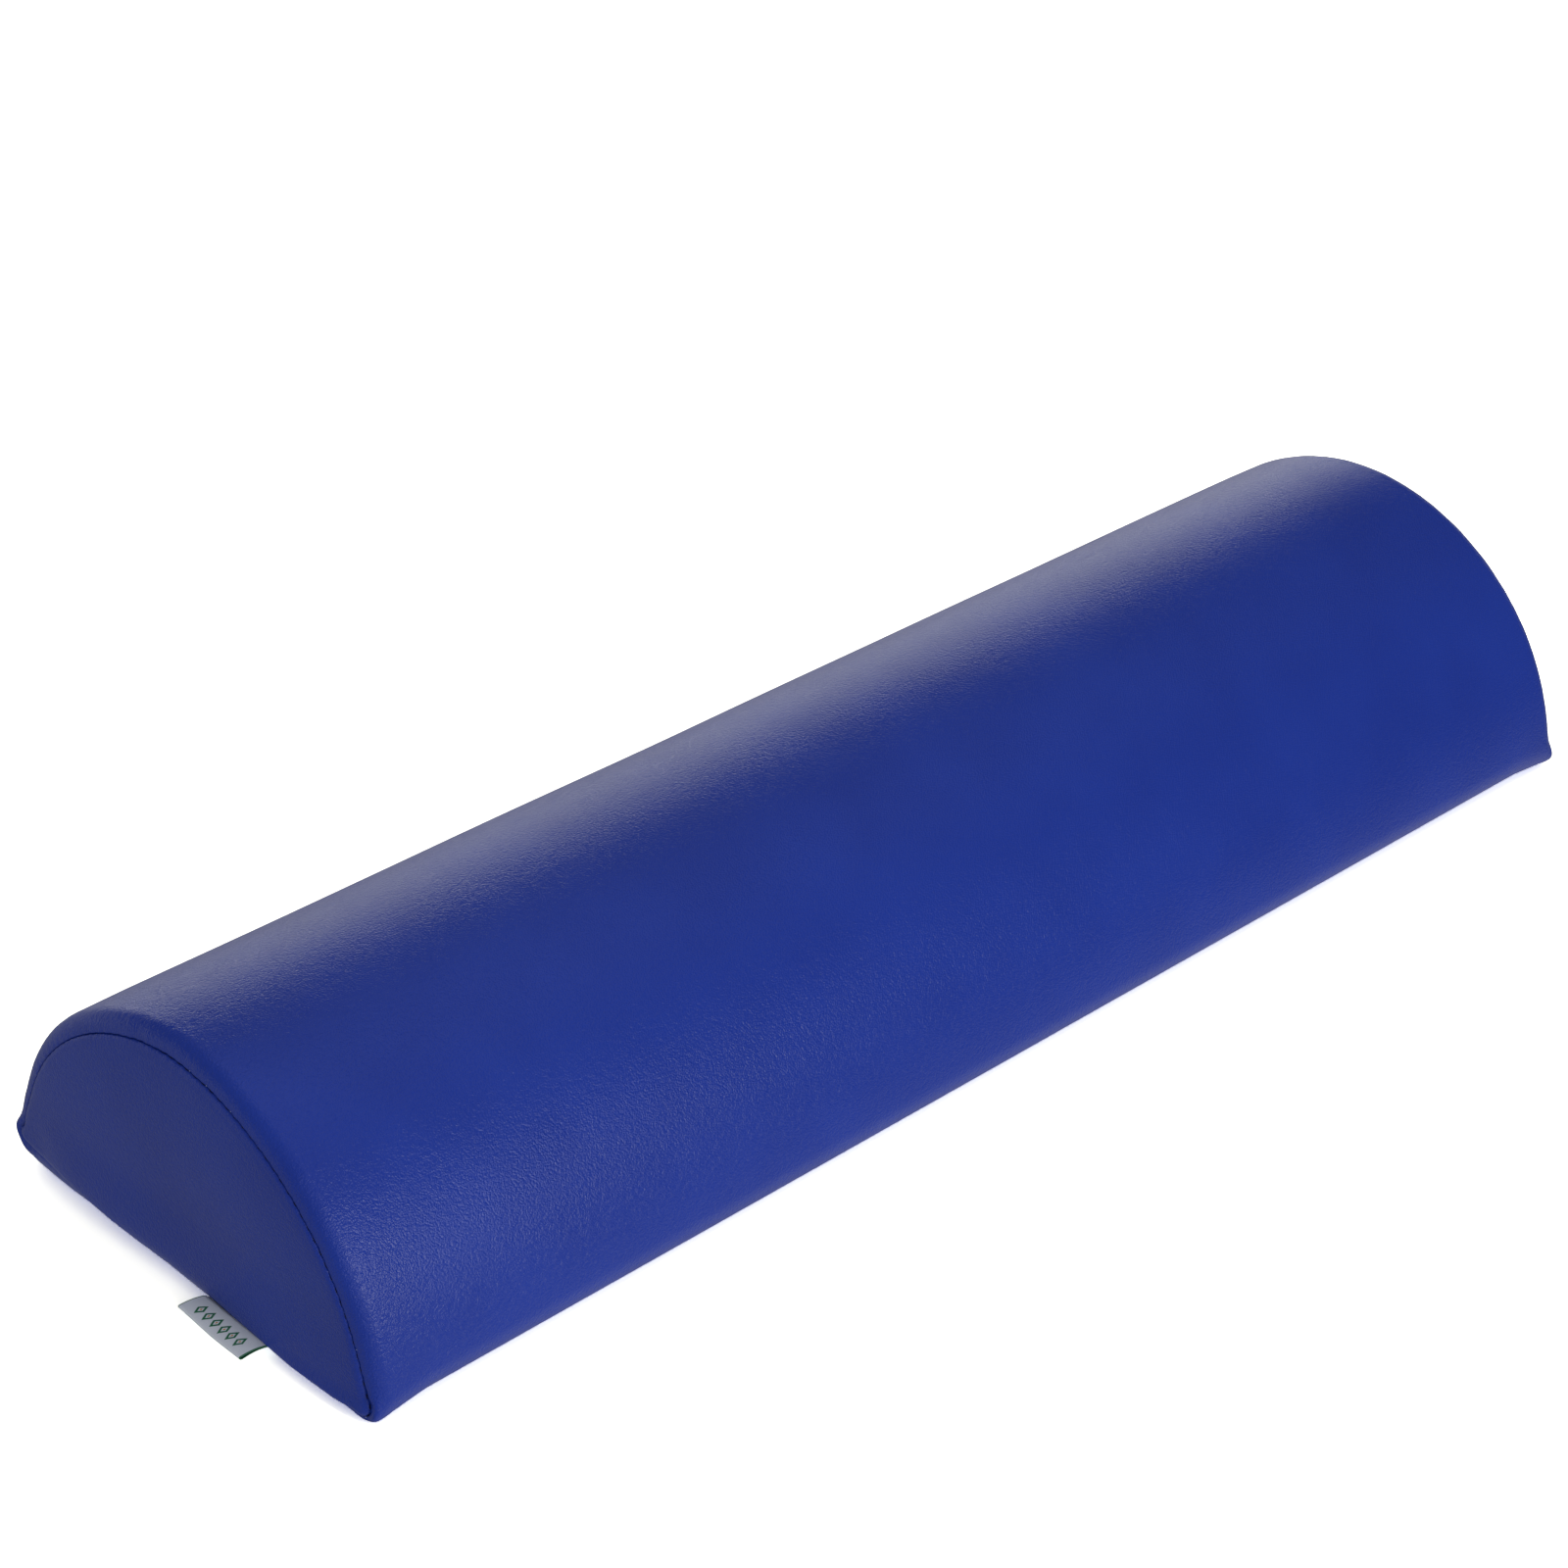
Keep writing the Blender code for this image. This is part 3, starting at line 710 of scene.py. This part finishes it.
FACE_SHARES = (0.985, 0.965, 0.94, 0.91, 0.87, 0.82, 0.76, 0.69, 0.61, 0.52, 0.42, 0.31,
               0.20, 0.10)
FACE_MIDDLE = 0.045
FACE_RADIUS = 0.09         # from its edge to its middle, on the cut pattern
BELLY = 0.0032             # how far an end face hangs out over its bottom seam
HANG = 0.0030              # and down


def crown_rise(y, z, inset):
    """Bulge of an end face at a place: nothing along its edge, most above its middle."""
    reach = ARC_RADIUS - inset
    up = np.clip((z - inset) / reach, 0.0, None)
    share = (1.0 - (y ** 2 + (z - ARC_Z) ** 2) / reach ** 2) * up
    peak = (1.0 - 1.0 / 3.0) / math.sqrt(3.0)
    return np.clip(share, 0.0, None) / peak


def end_face(name, end, node, vinyl):
    """A D-shaped end: it comes out of the seam, rolls over a soft edge and is crowned."""
    turns = np.linspace(0.0, math.radians(80), 10)
    seam_x = CREST_X - GROOVE
    insets = [SEAM_IN] * 2 + [SEAM_IN + EDGE_WIDTH * (1 - math.cos(t)) for t in turns[1:]]
    heights = [seam_x - ALLOWANCE, seam_x] + [seam_x + EDGE_RISE * math.sin(t) for t in turns[1:]]
    edge_rows = len(insets)
    rows = edge_rows + len(FACE_SHARES)
    insets = np.array(insets + [insets[-1]] * (len(FACE_SHARES) + 1))
    heights = np.array(heights + [heights[-1]] * (len(FACE_SHARES) + 1))
    shares = np.array([1.0] * edge_rows + list(FACE_SHARES) + [0.0])
    face = ringed_disc(name, rows, 440)

    def unrolled(points):
        v = np.arctan2(points[:, 1], points[:, 0]) / math.pi * V_ZIP
        row = np.rint((1.0 - np.hypot(points[:, 0], points[:, 1])) * rows).astype(int)
        return v, row

    def cut_place(points):
        v, row = unrolled(points)
        return np.stack([insets[row] - SEAM_IN + (1.0 - shares[row]) * FACE_RADIUS, v], axis=1)

    def shape(points):
        v, row = unrolled(points)
        share, inset = shares[row], insets[row]
        at_lip = np.exp(-(inset - SEAM_IN) / 0.0009) * (row > 0)
        inset = inset + PINCH * (1.0 - stitch_wave(v)) * at_lip + shoulder(v)
        pulled = corner_pull(v) * np.clip(1.0 - (1.0 - share) * 9.0, 0.0, 1.0)
        placed = place(v, inset - pulled, heights[row])
        y = placed[:, 1] * share
        z = FACE_MIDDLE + (placed[:, 2] - FACE_MIDDLE) * share
        rise = (FACE_X - heights[-1]) * crown_rise(y, z, insets[-1]) * (share < 1.0)
        inward = (1.0 - share) * FACE_RADIUS + insets[row] - SEAM_IN
        rise += 0.00010 * mottled(v / 0.0042, share * 9.0, 5.5 + end) * np.exp(-inward / 0.005)
        rise += 0.00035 * mottled(y / 0.032, z / 0.024, 2.2 + end) * (1.0 - share)
        from_corners = np.clip(1.0 - (np.abs(y + 0.008) / 0.090) ** 3, 0.0, 1.0)
        low = near(z, SEAM_IN + 0.006, 0.022) * from_corners
        over = low * (1.0 - np.exp(-inward / 0.0022))
        rise += BELLY * over
        z = z - HANG * over
        return hand_sewn(np.stack([end * (placed[:, 0] + rise), y, z], axis=1))

    lay_uv(face, cut_place)
    move_points(face, shape)
    face_outwards(face)
    thicken(face, VINYL)
    smooth(face)
    finish(face, [vinyl], "cover", "vinyl", node)
    return face


FOAM_CLEAR = 0.0002        # between the foam and the cover
FOAM_SHORT = 0.0035        # held back from each end seam
HEM_SEAT = 0.0022          # depth pressed in by the hem and the tape
ZIP_CHANNEL = 0.0028       # and further, by the teeth and the slider


def foam_block(foam):
    """The foam half-cylinder, its edges soft, with a channel pressed in along the zip."""
    inset = VINYL + FOAM_CLEAR
    block = grid("foam_block", 60, 260, (-RIM_X, -V_ZIP), (RIM_X, V_ZIP))
    edit(block)
    for end in (-1, 1):
        select_where(block, lambda co: co.x * end > RIM_X - 1e-5)
        extrude_along([(end * pull, 0.0, 0.0) for pull in steps(S_LIP - RIM_X, 6)])
        extrude_along([(0.0, 0.0, 1.0)])
        bpy.ops.mesh.merge(type="CENTER")
    bpy.ops.object.mode_set(mode="OBJECT")

    def shape(points):
        s, v, marker = points.T
        from_zip = V_ZIP - np.abs(v)
        seat = HEM_SEAT * np.clip((0.0200 - from_zip) / 0.0040, 0.0, 1.0)
        channel = ZIP_CHANNEL * np.clip((0.0092 - from_zip) / 0.0032, 0.0, 1.0)
        placed = wrap(np.stack([s, v, -inset - seat - channel], axis=1), lively=False)
        placed[:, 0] -= FOAM_SHORT * s / RIM_X
        middle = marker > 0.5
        placed[middle, 1:] = (0.0, FACE_MIDDLE)
        return placed

    move_points(block, shape)
    merge_doubles(block)
    face_outwards(block)
    smooth(block)
    finish(block, [foam], "cover", "foam", "foam_core")
    return block


# Zip

TAPE_STEP_IN = 0.0049
TAPE_STEP_OUT = 0.0062
TAPE_THICK = 0.0006
TAPE_OUTER = 0.0023        # height of the tape over the hem
TAPE_INNER = 0.0036        # and where it carries the teeth
TAPE_PAST_LIP = 0.0045     # each end is held inside the end seam
TAPE_EASE = (0.0, 0.15, 0.5, 0.85, 1.0)   # rise of its step from one to the other
TOOTH_PITCH = 0.00165
TOOTH_WIDTH = 0.00072
TOOTH_LOW, TOOTH_HIGH = 0.0018, 0.0033
TOOTH_REACH = 0.00045      # of the heads, past the zip's centre line
TOOTH_BEVEL = 0.00026
TOOTH_HEAD = 1.22          # width of a head, as a share of its tooth


def part_when_open(piece):
    """Give the piece a mesh of its own."""
    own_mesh(piece)


def zip_tape(name, side, node, tape):
    """Half of the zip tape, stepping up over the hem to carry its teeth."""
    half = S_LIP + TAPE_PAST_LIP
    strip = grid(name, 260, 3, (-half, TAPE_STEP_OUT), (half, TAPE_HIGH.y))
    edit(strip)
    select_where(strip, lambda co: co.y < TAPE_STEP_OUT + 1e-6)
    rise = TAPE_INNER - TAPE_OUTER
    width = TAPE_STEP_OUT - TAPE_STEP_IN
    extrude_along([(0.0, -width / 4, rise * (b - a)) for a, b in zip(TAPE_EASE, TAPE_EASE[1:])])
    extrude_along([(0.0, -pull, 0.0) for pull in steps(TAPE_STEP_IN - TAPE_LOW.y, 4)])
    bpy.ops.object.mode_set(mode="OBJECT")
    move_points(strip, lambda points: under(points * [1, side, 1] + [0, 0, TAPE_OUTER]))
    face_outwards(strip)
    thicken(strip, TAPE_THICK)
    smooth(strip)
    finish(strip, [tape], "cover", "zip_tape", node)
    part_when_open(strip)
    return strip


def zip_teeth(name, side, node, coil):
    """A row of nylon teeth whose heads reach between those of the other row."""
    low, high = TOOTH_LOW, TOOTH_HIGH
    inner, outer = -TOOTH_REACH, COIL_HIGH.y
    deselect_all()
    bpy.ops.mesh.primitive_cube_add(size=1.0, location=(0.0, (inner + outer) / 2, (low + high) / 2))
    teeth = named(name)
    teeth.scale = (TOOTH_WIDTH, outer - inner, high - low)
    settle(teeth)
    edit(teeth)
    bpy.ops.mesh.select_all(action="SELECT")
    bpy.ops.mesh.bevel(offset=TOOTH_BEVEL, segments=1, affect="EDGES")
    select_where(teeth, lambda co: co.y < inner + 0.0003, "FACE")
    bpy.ops.transform.resize(value=(TOOTH_HEAD, 1.0, 1.0), center_override=(0.0, 0.0, 0.0))
    bpy.ops.object.mode_set(mode="OBJECT")
    repeat(teeth, 2 * int(COIL_HIGH.x / TOOTH_PITCH) - 1, TOOTH_PITCH)
    shift = side * TOOTH_PITCH / 4
    move_points(teeth, lambda points: under(points * [1, side, 1] + [shift, 0, 0]))
    face_outwards(teeth)
    smooth(teeth, 60)
    finish(teeth, [coil], "cover", "zip_coil", node)
    part_when_open(teeth)
    return teeth


RAIL = 0.0006              # thickness of the slider's side rails


def slider(metal):
    """The bare slider: a ridged shield outside, a plain plate inside, joined by a wedge."""
    low, high = SLIDER_LOW, SLIDER_HIGH
    length = high.x - low.x
    half = high.y

    def half_width(share):
        """Half width of the plates, from the narrow end (0) to the wide, round end (1)."""
        waist = 0.60 + 0.40 * np.clip((share - 0.10) / 0.50, 0.0, 1.0) ** 1.6
        waist = waist + 0.05 * np.clip(1.0 - share / 0.10, 0.0, 1.0)
        round_end = np.sqrt(np.clip(1.0 - np.clip((share - 0.62) / 0.38, 0.0, 1.0) ** 2, 0.0, 1.0))
        return half * np.clip(waist, 0.0, 1.0) * np.clip(round_end, 0.18, 1.0)

    parts = []
    for name, base, top, ridge in (("shield", 0.0003, 0.0014, 0.00055),
                                   ("inner_plate", 0.0046, 0.0055, 0.0)):
        piece = grid(name, 26, 12, (low.x, -1.0), (high.x, 1.0))
        edit(piece)
        bpy.ops.mesh.select_all(action="SELECT")
        extrude_along([(0.0, 0.0, 1.0)])
        bpy.ops.object.mode_set(mode="OBJECT")

        def shape(points, base=base, top=top, ridge=ridge):
            x, y, z = points.T
            share = (x - low.x) / length
            wide = half_width(share)
            fall = ridge * np.abs(y) ** 1.1 + 0.0001 * (np.abs(y) > 0.99)
            outside = base + fall
            return np.stack([x, y * wide, np.where(z > 0.5, top, outside)], axis=1)

        move_points(piece, shape)
        face_outwards(piece)
        parts.append(piece)

    for side in (-1, 1):
        for base, top in ((0.0012, 0.0022), (0.0040, 0.0048)):
            rail = grid("rail", 20, 2, (low.x + 0.0004, 0.0), (low.x + 0.66 * length, 1.0))
            edit(rail)
            bpy.ops.mesh.select_all(action="SELECT")
            extrude_along([(0.0, 0.0, 1.0)])
            bpy.ops.object.mode_set(mode="OBJECT")

            def shape(points, side=side, base=base, top=top):
                x, y, z = points.T
                wide = half_width((x - low.x) / length) - 0.0001
                return np.stack([x, side * (wide - RAIL * (1 - y)), np.where(z > 0.5, top, base)],
                                axis=1)

            move_points(rail, shape)
            face_outwards(rail)
            parts.append(rail)

    deselect_all()
    bpy.ops.mesh.primitive_cylinder_add(vertices=24, radius=1.0, depth=0.0036,
                                        location=(high.x - 0.0030, 0.0, 0.0030))
    wedge = named("wedge")
    wedge.scale = (0.0024, 0.0010, 1.0)
    settle(wedge)
    parts.append(wedge)

    deselect_all()
    for piece in parts:
        piece.select_set(True)
    bpy.context.view_layer.objects.active = parts[0]
    bpy.ops.object.join()
    body = named("zip_slider_body")
    soft = body.modifiers.new("soft_edges", "BEVEL")
    soft.width = 0.00014
    soft.segments = 2
    soft.limit_method = "ANGLE"
    soft.angle_limit = math.radians(42)
    apply_all(body)
    smooth(body, 30)
    finish(body, [metal], "slider", "slider_metal", "zip_slider")
    return body


# Threads

def one_stitch(name, length, radius, dip):
    """One stitch along X: a thread tube whose ends dive into the vinyl."""
    deselect_all()
    bpy.ops.mesh.primitive_circle_add(vertices=7, radius=radius, location=(-length / 2, 0.0, 0.0),
                                      rotation=(0.0, math.pi / 2, 0.0), fill_type="NGON")
    stitch = named(name)
    settle(stitch)
    edit(stitch)
    bpy.ops.mesh.select_all(action="SELECT")
    extrude_along([(pull, 0.0, 0.0) for pull in steps(length, 6)])
    bpy.ops.object.mode_set(mode="OBJECT")

    def shape(points):
        x, y, z = points.T
        share = np.abs(x) / (length / 2)
        thin = 1.0 - 0.35 * share ** 4
        return np.stack([x, y * thin, z * thin + dip * share ** 4], axis=1)

    move_points(stitch, shape)
    return stitch


def topstitch(name, side, node, thread):
    """The thread that sews a fold to its tape, lying in its dent."""
    row = one_stitch(name, TOPSTITCH_PITCH * 0.92, THREAD, 0.0006)
    count = int(2 * (RIM_X + 0.5 * RIM) / TOPSTITCH_PITCH)
    repeat(row, count, TOPSTITCH_PITCH)
    move_points(row, lambda points: under(points + [0, side * TOPSTITCH_OFFSET, 0.00065]))
    face_outwards(row)
    smooth(row, 70)
    finish(row, [thread], "cover", "thread", node)
    return row


def seam_thread(name, end, node, thread, glint_paint):
    """Dashes of thread in the crease of an end seam, and pale specks where the needle went, which
    are painted highlights of the pinched vinyl.
    """
    row = one_stitch(name, SEAM_STITCH, SEAM_THREAD, 0.0006)
    count = 2 * int(V_FOLD / SEAM_PITCH)
    repeat(row, count, SEAM_PITCH)

    def seam_place(v, across, deep):
        placed = place(v, SEAM_IN + across - corner_pull(v) + shoulder(v), CREST_X - deep)
        return hand_sewn(placed) * [end, 1, 1]

    def shape(points):
        return seam_place(points[:, 0], points[:, 1] - 0.0001, SEAM_THREAD_DEEP + points[:, 2])

    move_points(row, shape)
    face_outwards(row)
    row.data.materials.append(thread)

    specks = []
    for k in range(-(count // 2), count // 2 + 1):
        chance = noise.noise(Vector((k * 0.83, 4.1 + end, 0.0)))
        if chance < GLINT_SPECK_CHANCE:
            continue
        deselect_all()
        # a pale speck painted as the glint of the vinyl pinched at this needle hole
        bpy.ops.mesh.primitive_ico_sphere_add(subdivisions=1, radius=0.00015 + 0.0001 * chance)
        speck = named("speck")
        v = np.array([k * SEAM_PITCH + 0.0004 * chance])
        beside = np.array([-0.0006 - 0.0003 * chance])
        speck.location = seam_place(v, beside, np.array([0.00008]))[0]
        settle(speck)
        speck.data.materials.append(glint_paint)
        specks.append(speck)
    deselect_all()
    for piece in specks + [row]:
        piece.select_set(True)
    bpy.context.view_layer.objects.active = row
    bpy.ops.object.join()
    smooth(row, 70)
    finish(row, [thread, glint_paint], "cover", "thread", node)
    return row


# Label

RIBBON = 0.00028
LABEL_REACH = 0.0150       # from the seam to the fold
LABEL_FOLD = 0.0008        # radius of the fold
LABEL_TIP = 0.0013         # height of the fold, and its climb towards one edge
LABEL_CLIMB = 0.0020
LABEL_HUMP = 0.0014        # how far it arches between the seam and the fold
LABEL_SINK = 0.0020        # ribbon held inside the seam
LABEL_SKEW = 0.0038        # its fold lies this far towards the back
LABEL_DIP = 0.0012         # how far it passes below the hanging end face


def side_label(ribbon, reverse):
    """The folded loop of ribbon: it leaves the seam level, curls over and rests its fold."""
    root_x, root_z = TUCK - CREST_X, SEAM_IN - SEAM_DIP
    straight = LABEL_REACH - LABEL_FOLD
    cut = 2 * (LABEL_SINK + straight) + math.pi * LABEL_FOLD
    loop = grid("ribbon_loop", 60, 24, (0.0, LABEL_LOW.y), (cut, LABEL_HIGH.y))

    def profile(t):
        """Across the two layers: distance out from the seam and height over the middle line."""
        upper = LABEL_SINK + straight
        fold = math.pi * LABEL_FOLD
        turn = np.clip((t - upper) / LABEL_FOLD, 0.0, math.pi)
        out = np.where(t < upper, t - LABEL_SINK,
                       np.where(t > upper + fold, straight - (t - upper - fold),
                                straight + LABEL_FOLD * np.sin(turn)))
        opening = np.clip(out / straight, 0.0, 1.0) ** 1.3
        gap = LABEL_FOLD * (0.18 + 0.82 * opening)
        lift = np.where(t < upper, gap, np.where(t > upper + fold, -gap, LABEL_FOLD * np.cos(turn)))
        return out, lift

    def shape(points):
        t, y, _ = points.T
        out, lift = profile(t)
        share = np.clip(out / LABEL_REACH, 0.0, 1.1)
        across = (y - LABEL_LOW.y) / (LABEL_HIGH.y - LABEL_LOW.y)
        tip = LABEL_TIP + LABEL_CLIMB * ramp(across, 0.35, 1.1)
        hump = LABEL_HUMP * np.sin(math.pi * share)
        under_belly = LABEL_DIP * ramp(out, 0.0, 0.0014) * (1.0 - ramp(out, 0.0026, 0.0056))
        middle = root_z + (tip - root_z) * share ** 1.6 + hump - under_belly
        climb = 1.6 * (tip - root_z) * share ** 0.6
        slope = (climb + LABEL_HUMP * math.pi * np.cos(math.pi * share)) / LABEL_REACH
        turn = np.arctan(slope)
        x = root_x - out * (1.0 - 0.05 * share) + lift * np.sin(turn)
        z = middle + lift * np.cos(turn)
        skew = LABEL_SKEW + 0.0014 * (1.0 - across)
        return np.stack([x, y + skew * share, z + 0.0005 * share * (1.0 - across)], axis=1)

    def cut_place(points):
        out, _ = profile(points[:, 0])
        return np.stack([(points[:, 1] - LABEL_LOW.y) / (LABEL_HIGH.y - LABEL_LOW.y),
                         np.where(points[:, 0] < cut / 2, out / LABEL_REACH, -0.5)], axis=1)

    lay_uv(loop, cut_place)
    move_points(loop, shape)
    face_outwards(loop)
    loop.data.materials.append(ribbon)
    loop.data.materials.append(reverse)
    thicken(loop, RIBBON, inner_material=1)
    smooth(loop)
    finish(loop, [ribbon, reverse], "cover", "ribbon", "side_label")
    return loop


# Setting

FLOOR_Z = -0.0003          # just under the bolster
FLOOR_SIZE = 6.0
FLOOR_WHITE = (2.8, 2.76, 2.42)   # above 1, so that it clips to white outside the shadow
LAMPS = (                  # name, place, target, width, height, watts
    ("high_back", (0.90, 1.45, 0.30), (0.0, 0.0, 0.05), 1.8, 0.4, 5.2),
    ("front", (-0.03, -1.35, 0.48), (-0.1, 0.0, 0.05), 0.35, 0.8, 8.5),
    ("rim_strip", (-0.90, -1.10, 0.45), (-0.3, 0.0, 0.05), 0.14, 0.7, 1.8),
    ("overhead", (0.3, 0.1, 1.7), (0.0, 0.0, 0.05), 2.0, 1.5, 4.5),
    ("floor_bounce", (0.15, -0.8, -1.0), (0.0, 0.0, 0.0), 3.2, 1.5, 6.5),
)


def look_from(azimuth, elevation, distance, aside, above, lens):
    """The camera that matches the photograph's view of the bolster."""
    az, el = math.radians(azimuth), math.radians(elevation)
    back = Vector((math.sin(az) * math.cos(el), -math.cos(az) * math.cos(el), math.sin(el)))
    right = Vector((math.cos(az), math.sin(az), 0.0))
    up = back.cross(right)
    data = bpy.data.cameras.new("camera")
    data.lens = lens
    data.sensor_width = 36.0
    camera = bpy.data.objects.new("camera", data)
    spot = back * distance - right * aside - up * above
    camera.matrix_world = Matrix.Translation(spot) @ Matrix((right, up, back)).transposed().to_4x4()
    bpy.context.scene.collection.objects.link(camera)
    bpy.context.scene.camera = camera


def softbox(name, spot, target, width, height, watts):
    data = bpy.data.lights.new(name, "AREA")
    data.shape = "RECTANGLE"
    data.size, data.size_y = width, height
    data.energy = watts
    lamp = bpy.data.objects.new(name, data)
    lamp.location = spot
    toward = Vector(target) - Vector(spot)
    lamp.rotation_euler = toward.to_track_quat("-Z", "Y").to_euler()
    bpy.context.scene.collection.objects.link(lamp)


def seen_directly(tree, path):
    """1 for camera, glossy and transmission rays, which see the white backdrop."""
    seen = path.outputs["Is Camera Ray"]
    for ray in ("Is Glossy Ray", "Is Transmission Ray"):
        either = tree.nodes.new("ShaderNodeMath")
        either.operation = "MAXIMUM"
        tree.links.new(seen, either.inputs[0])
        tree.links.new(path.outputs[ray], either.inputs[1])
        seen = either.outputs[0]
    return seen


def fade(tree, source, **ends):
    """A value carried from one range, from_min to from_max, to another."""
    made = tree.nodes.new("ShaderNodeMapRange")
    for key, value in ends.items():
        made.inputs[key.replace("_", " ").title()].default_value = value
    tree.links.new(source, made.inputs["Value"])
    return made.outputs["Result"]


def white_world(ambient, ceiling, below, room):
    """White all round; mirrors see a white backdrop that dims upwards, and a dim room in front."""
    world = bpy.data.worlds.new("studio")
    bpy.context.scene.world = world
    world.use_nodes = True
    tree = world.node_tree
    background = tree.nodes["Background"]
    background.inputs["Color"].default_value = (1.0, 1.0, 1.0, 1.0)
    direction = tree.nodes.new("ShaderNodeTexCoord")
    height = tree.nodes.new("ShaderNodeSeparateXYZ")
    tree.links.new(direction.outputs["Generated"], height.inputs["Vector"])
    studio = tree.nodes.new("ShaderNodeValToRGB")
    first, last = studio.color_ramp.elements
    first.position, first.color = 0.40, (below, below, below, 1.0)
    last.position, last.color = 0.58, (ceiling, ceiling, ceiling, 1.0)
    for horizon in (0.49, 0.51):
        studio.color_ramp.elements.new(horizon).color = (1.0, 1.0, 1.0, 1.0)
    up, back = height.outputs["Z"], height.outputs["Y"]
    tree.links.new(fade(tree, up, from_min=-1.0), studio.inputs["Fac"])
    behind = fade(tree, back, from_min=-0.15, from_max=0.30)
    front = fade(tree, up, from_min=-0.45, from_max=-0.12, to_min=below, to_max=room)
    mirrored = tree.nodes.new("ShaderNodeMix")
    tree.links.new(front, mirrored.inputs["A"])
    tree.links.new(behind, mirrored.inputs["Factor"])
    tree.links.new(studio.outputs["Color"], mirrored.inputs["B"])
    path = tree.nodes.new("ShaderNodeLightPath")
    glossy = tree.nodes.new("ShaderNodeMix")
    tree.links.new(path.outputs["Is Glossy Ray"], glossy.inputs["Factor"])
    glossy.inputs["A"].default_value = 1.0
    tree.links.new(mirrored.outputs["Result"], glossy.inputs["B"])
    level = tree.nodes.new("ShaderNodeMapRange")
    level.inputs["To Min"].default_value = ambient
    tree.links.new(seen_directly(tree, path), level.inputs["Value"])
    tree.links.new(glossy.outputs["Result"], level.inputs["To Max"])
    tree.links.new(level.outputs["Result"], background.inputs["Strength"])


def white_floor():
    """A white sweep that keeps the shadow. It is clear from below, to show the zip."""
    deselect_all()
    bpy.ops.mesh.primitive_grid_add(x_subdivisions=4, y_subdivisions=4, size=FLOOR_SIZE,
                                    location=(0.0, 0.0, FLOOR_Z))
    floor = named("floor")
    settle(floor)
    floor.visible_diffuse = floor.visible_glossy = floor.visible_transmission = False
    floor.visible_shadow = False
    material = bpy.data.materials.new("white_sweep")
    material.use_nodes = True
    tree = material.node_tree
    shader = tree.nodes["Principled BSDF"]
    shader.inputs["Base Color"].default_value = (*FLOOR_WHITE, 1.0)
    shader.inputs["Roughness"].default_value = 1.0
    shader.inputs["Specular IOR Level"].default_value = 0.0
    facing = tree.nodes.new("ShaderNodeNewGeometry")
    clear = tree.nodes.new("ShaderNodeBsdfTransparent")
    one_sided = tree.nodes.new("ShaderNodeMixShader")
    tree.links.new(facing.outputs["Backfacing"], one_sided.inputs[0])
    tree.links.new(shader.outputs[0], one_sided.inputs[1])
    tree.links.new(clear.outputs[0], one_sided.inputs[2])
    tree.links.new(one_sided.outputs[0], tree.nodes["Material Output"].inputs["Surface"])
    floor.data.materials.append(material)


# The bolster in its setting

def main():
    bpy.context.scene.view_settings.view_transform = "Standard"
    look_from(azimuth=-42.8, elevation=31.5, distance=1.495, aside=0.0241, above=-0.0613, lens=90.7)
    white_world(ambient=0.56, ceiling=0.07, below=0.31, room=0.09)
    white_floor()
    for lamp in LAMPS:
        softbox(*lamp)

    vinyl = vinyl_finish()
    body_panel(vinyl)
    end_face("label_end_face", -1, "label_end_panel", vinyl)
    end_face("plain_end_face", 1, "plain_end_panel", vinyl)
    foam_block(foam_finish())
    tape = tape_finish()
    coil = coil_finish()
    thread = thread_finish()
    # pale specks painted as highlights at the needle holes of the end seams
    glint_paint = painted_glint_finish()
    for side, word in ((-1, "front"), (1, "back")):
        zip_tape("woven_tape_" + word, side, "zip_tape_" + word, tape)
        zip_teeth("nylon_teeth_" + word, side, "zip_coil_" + word, coil)
        topstitch("fold_stitches_" + word, side, "zip_topstitch_" + word, thread)
    slider(metal_finish())
    seam_thread("label_end_seam", -1, "label_end_seam_thread", thread, glint_paint)
    seam_thread("plain_end_seam", 1, "plain_end_seam_thread", thread, glint_paint)
    side_label(ribbon_finish(), ribbon_back_finish())


main()
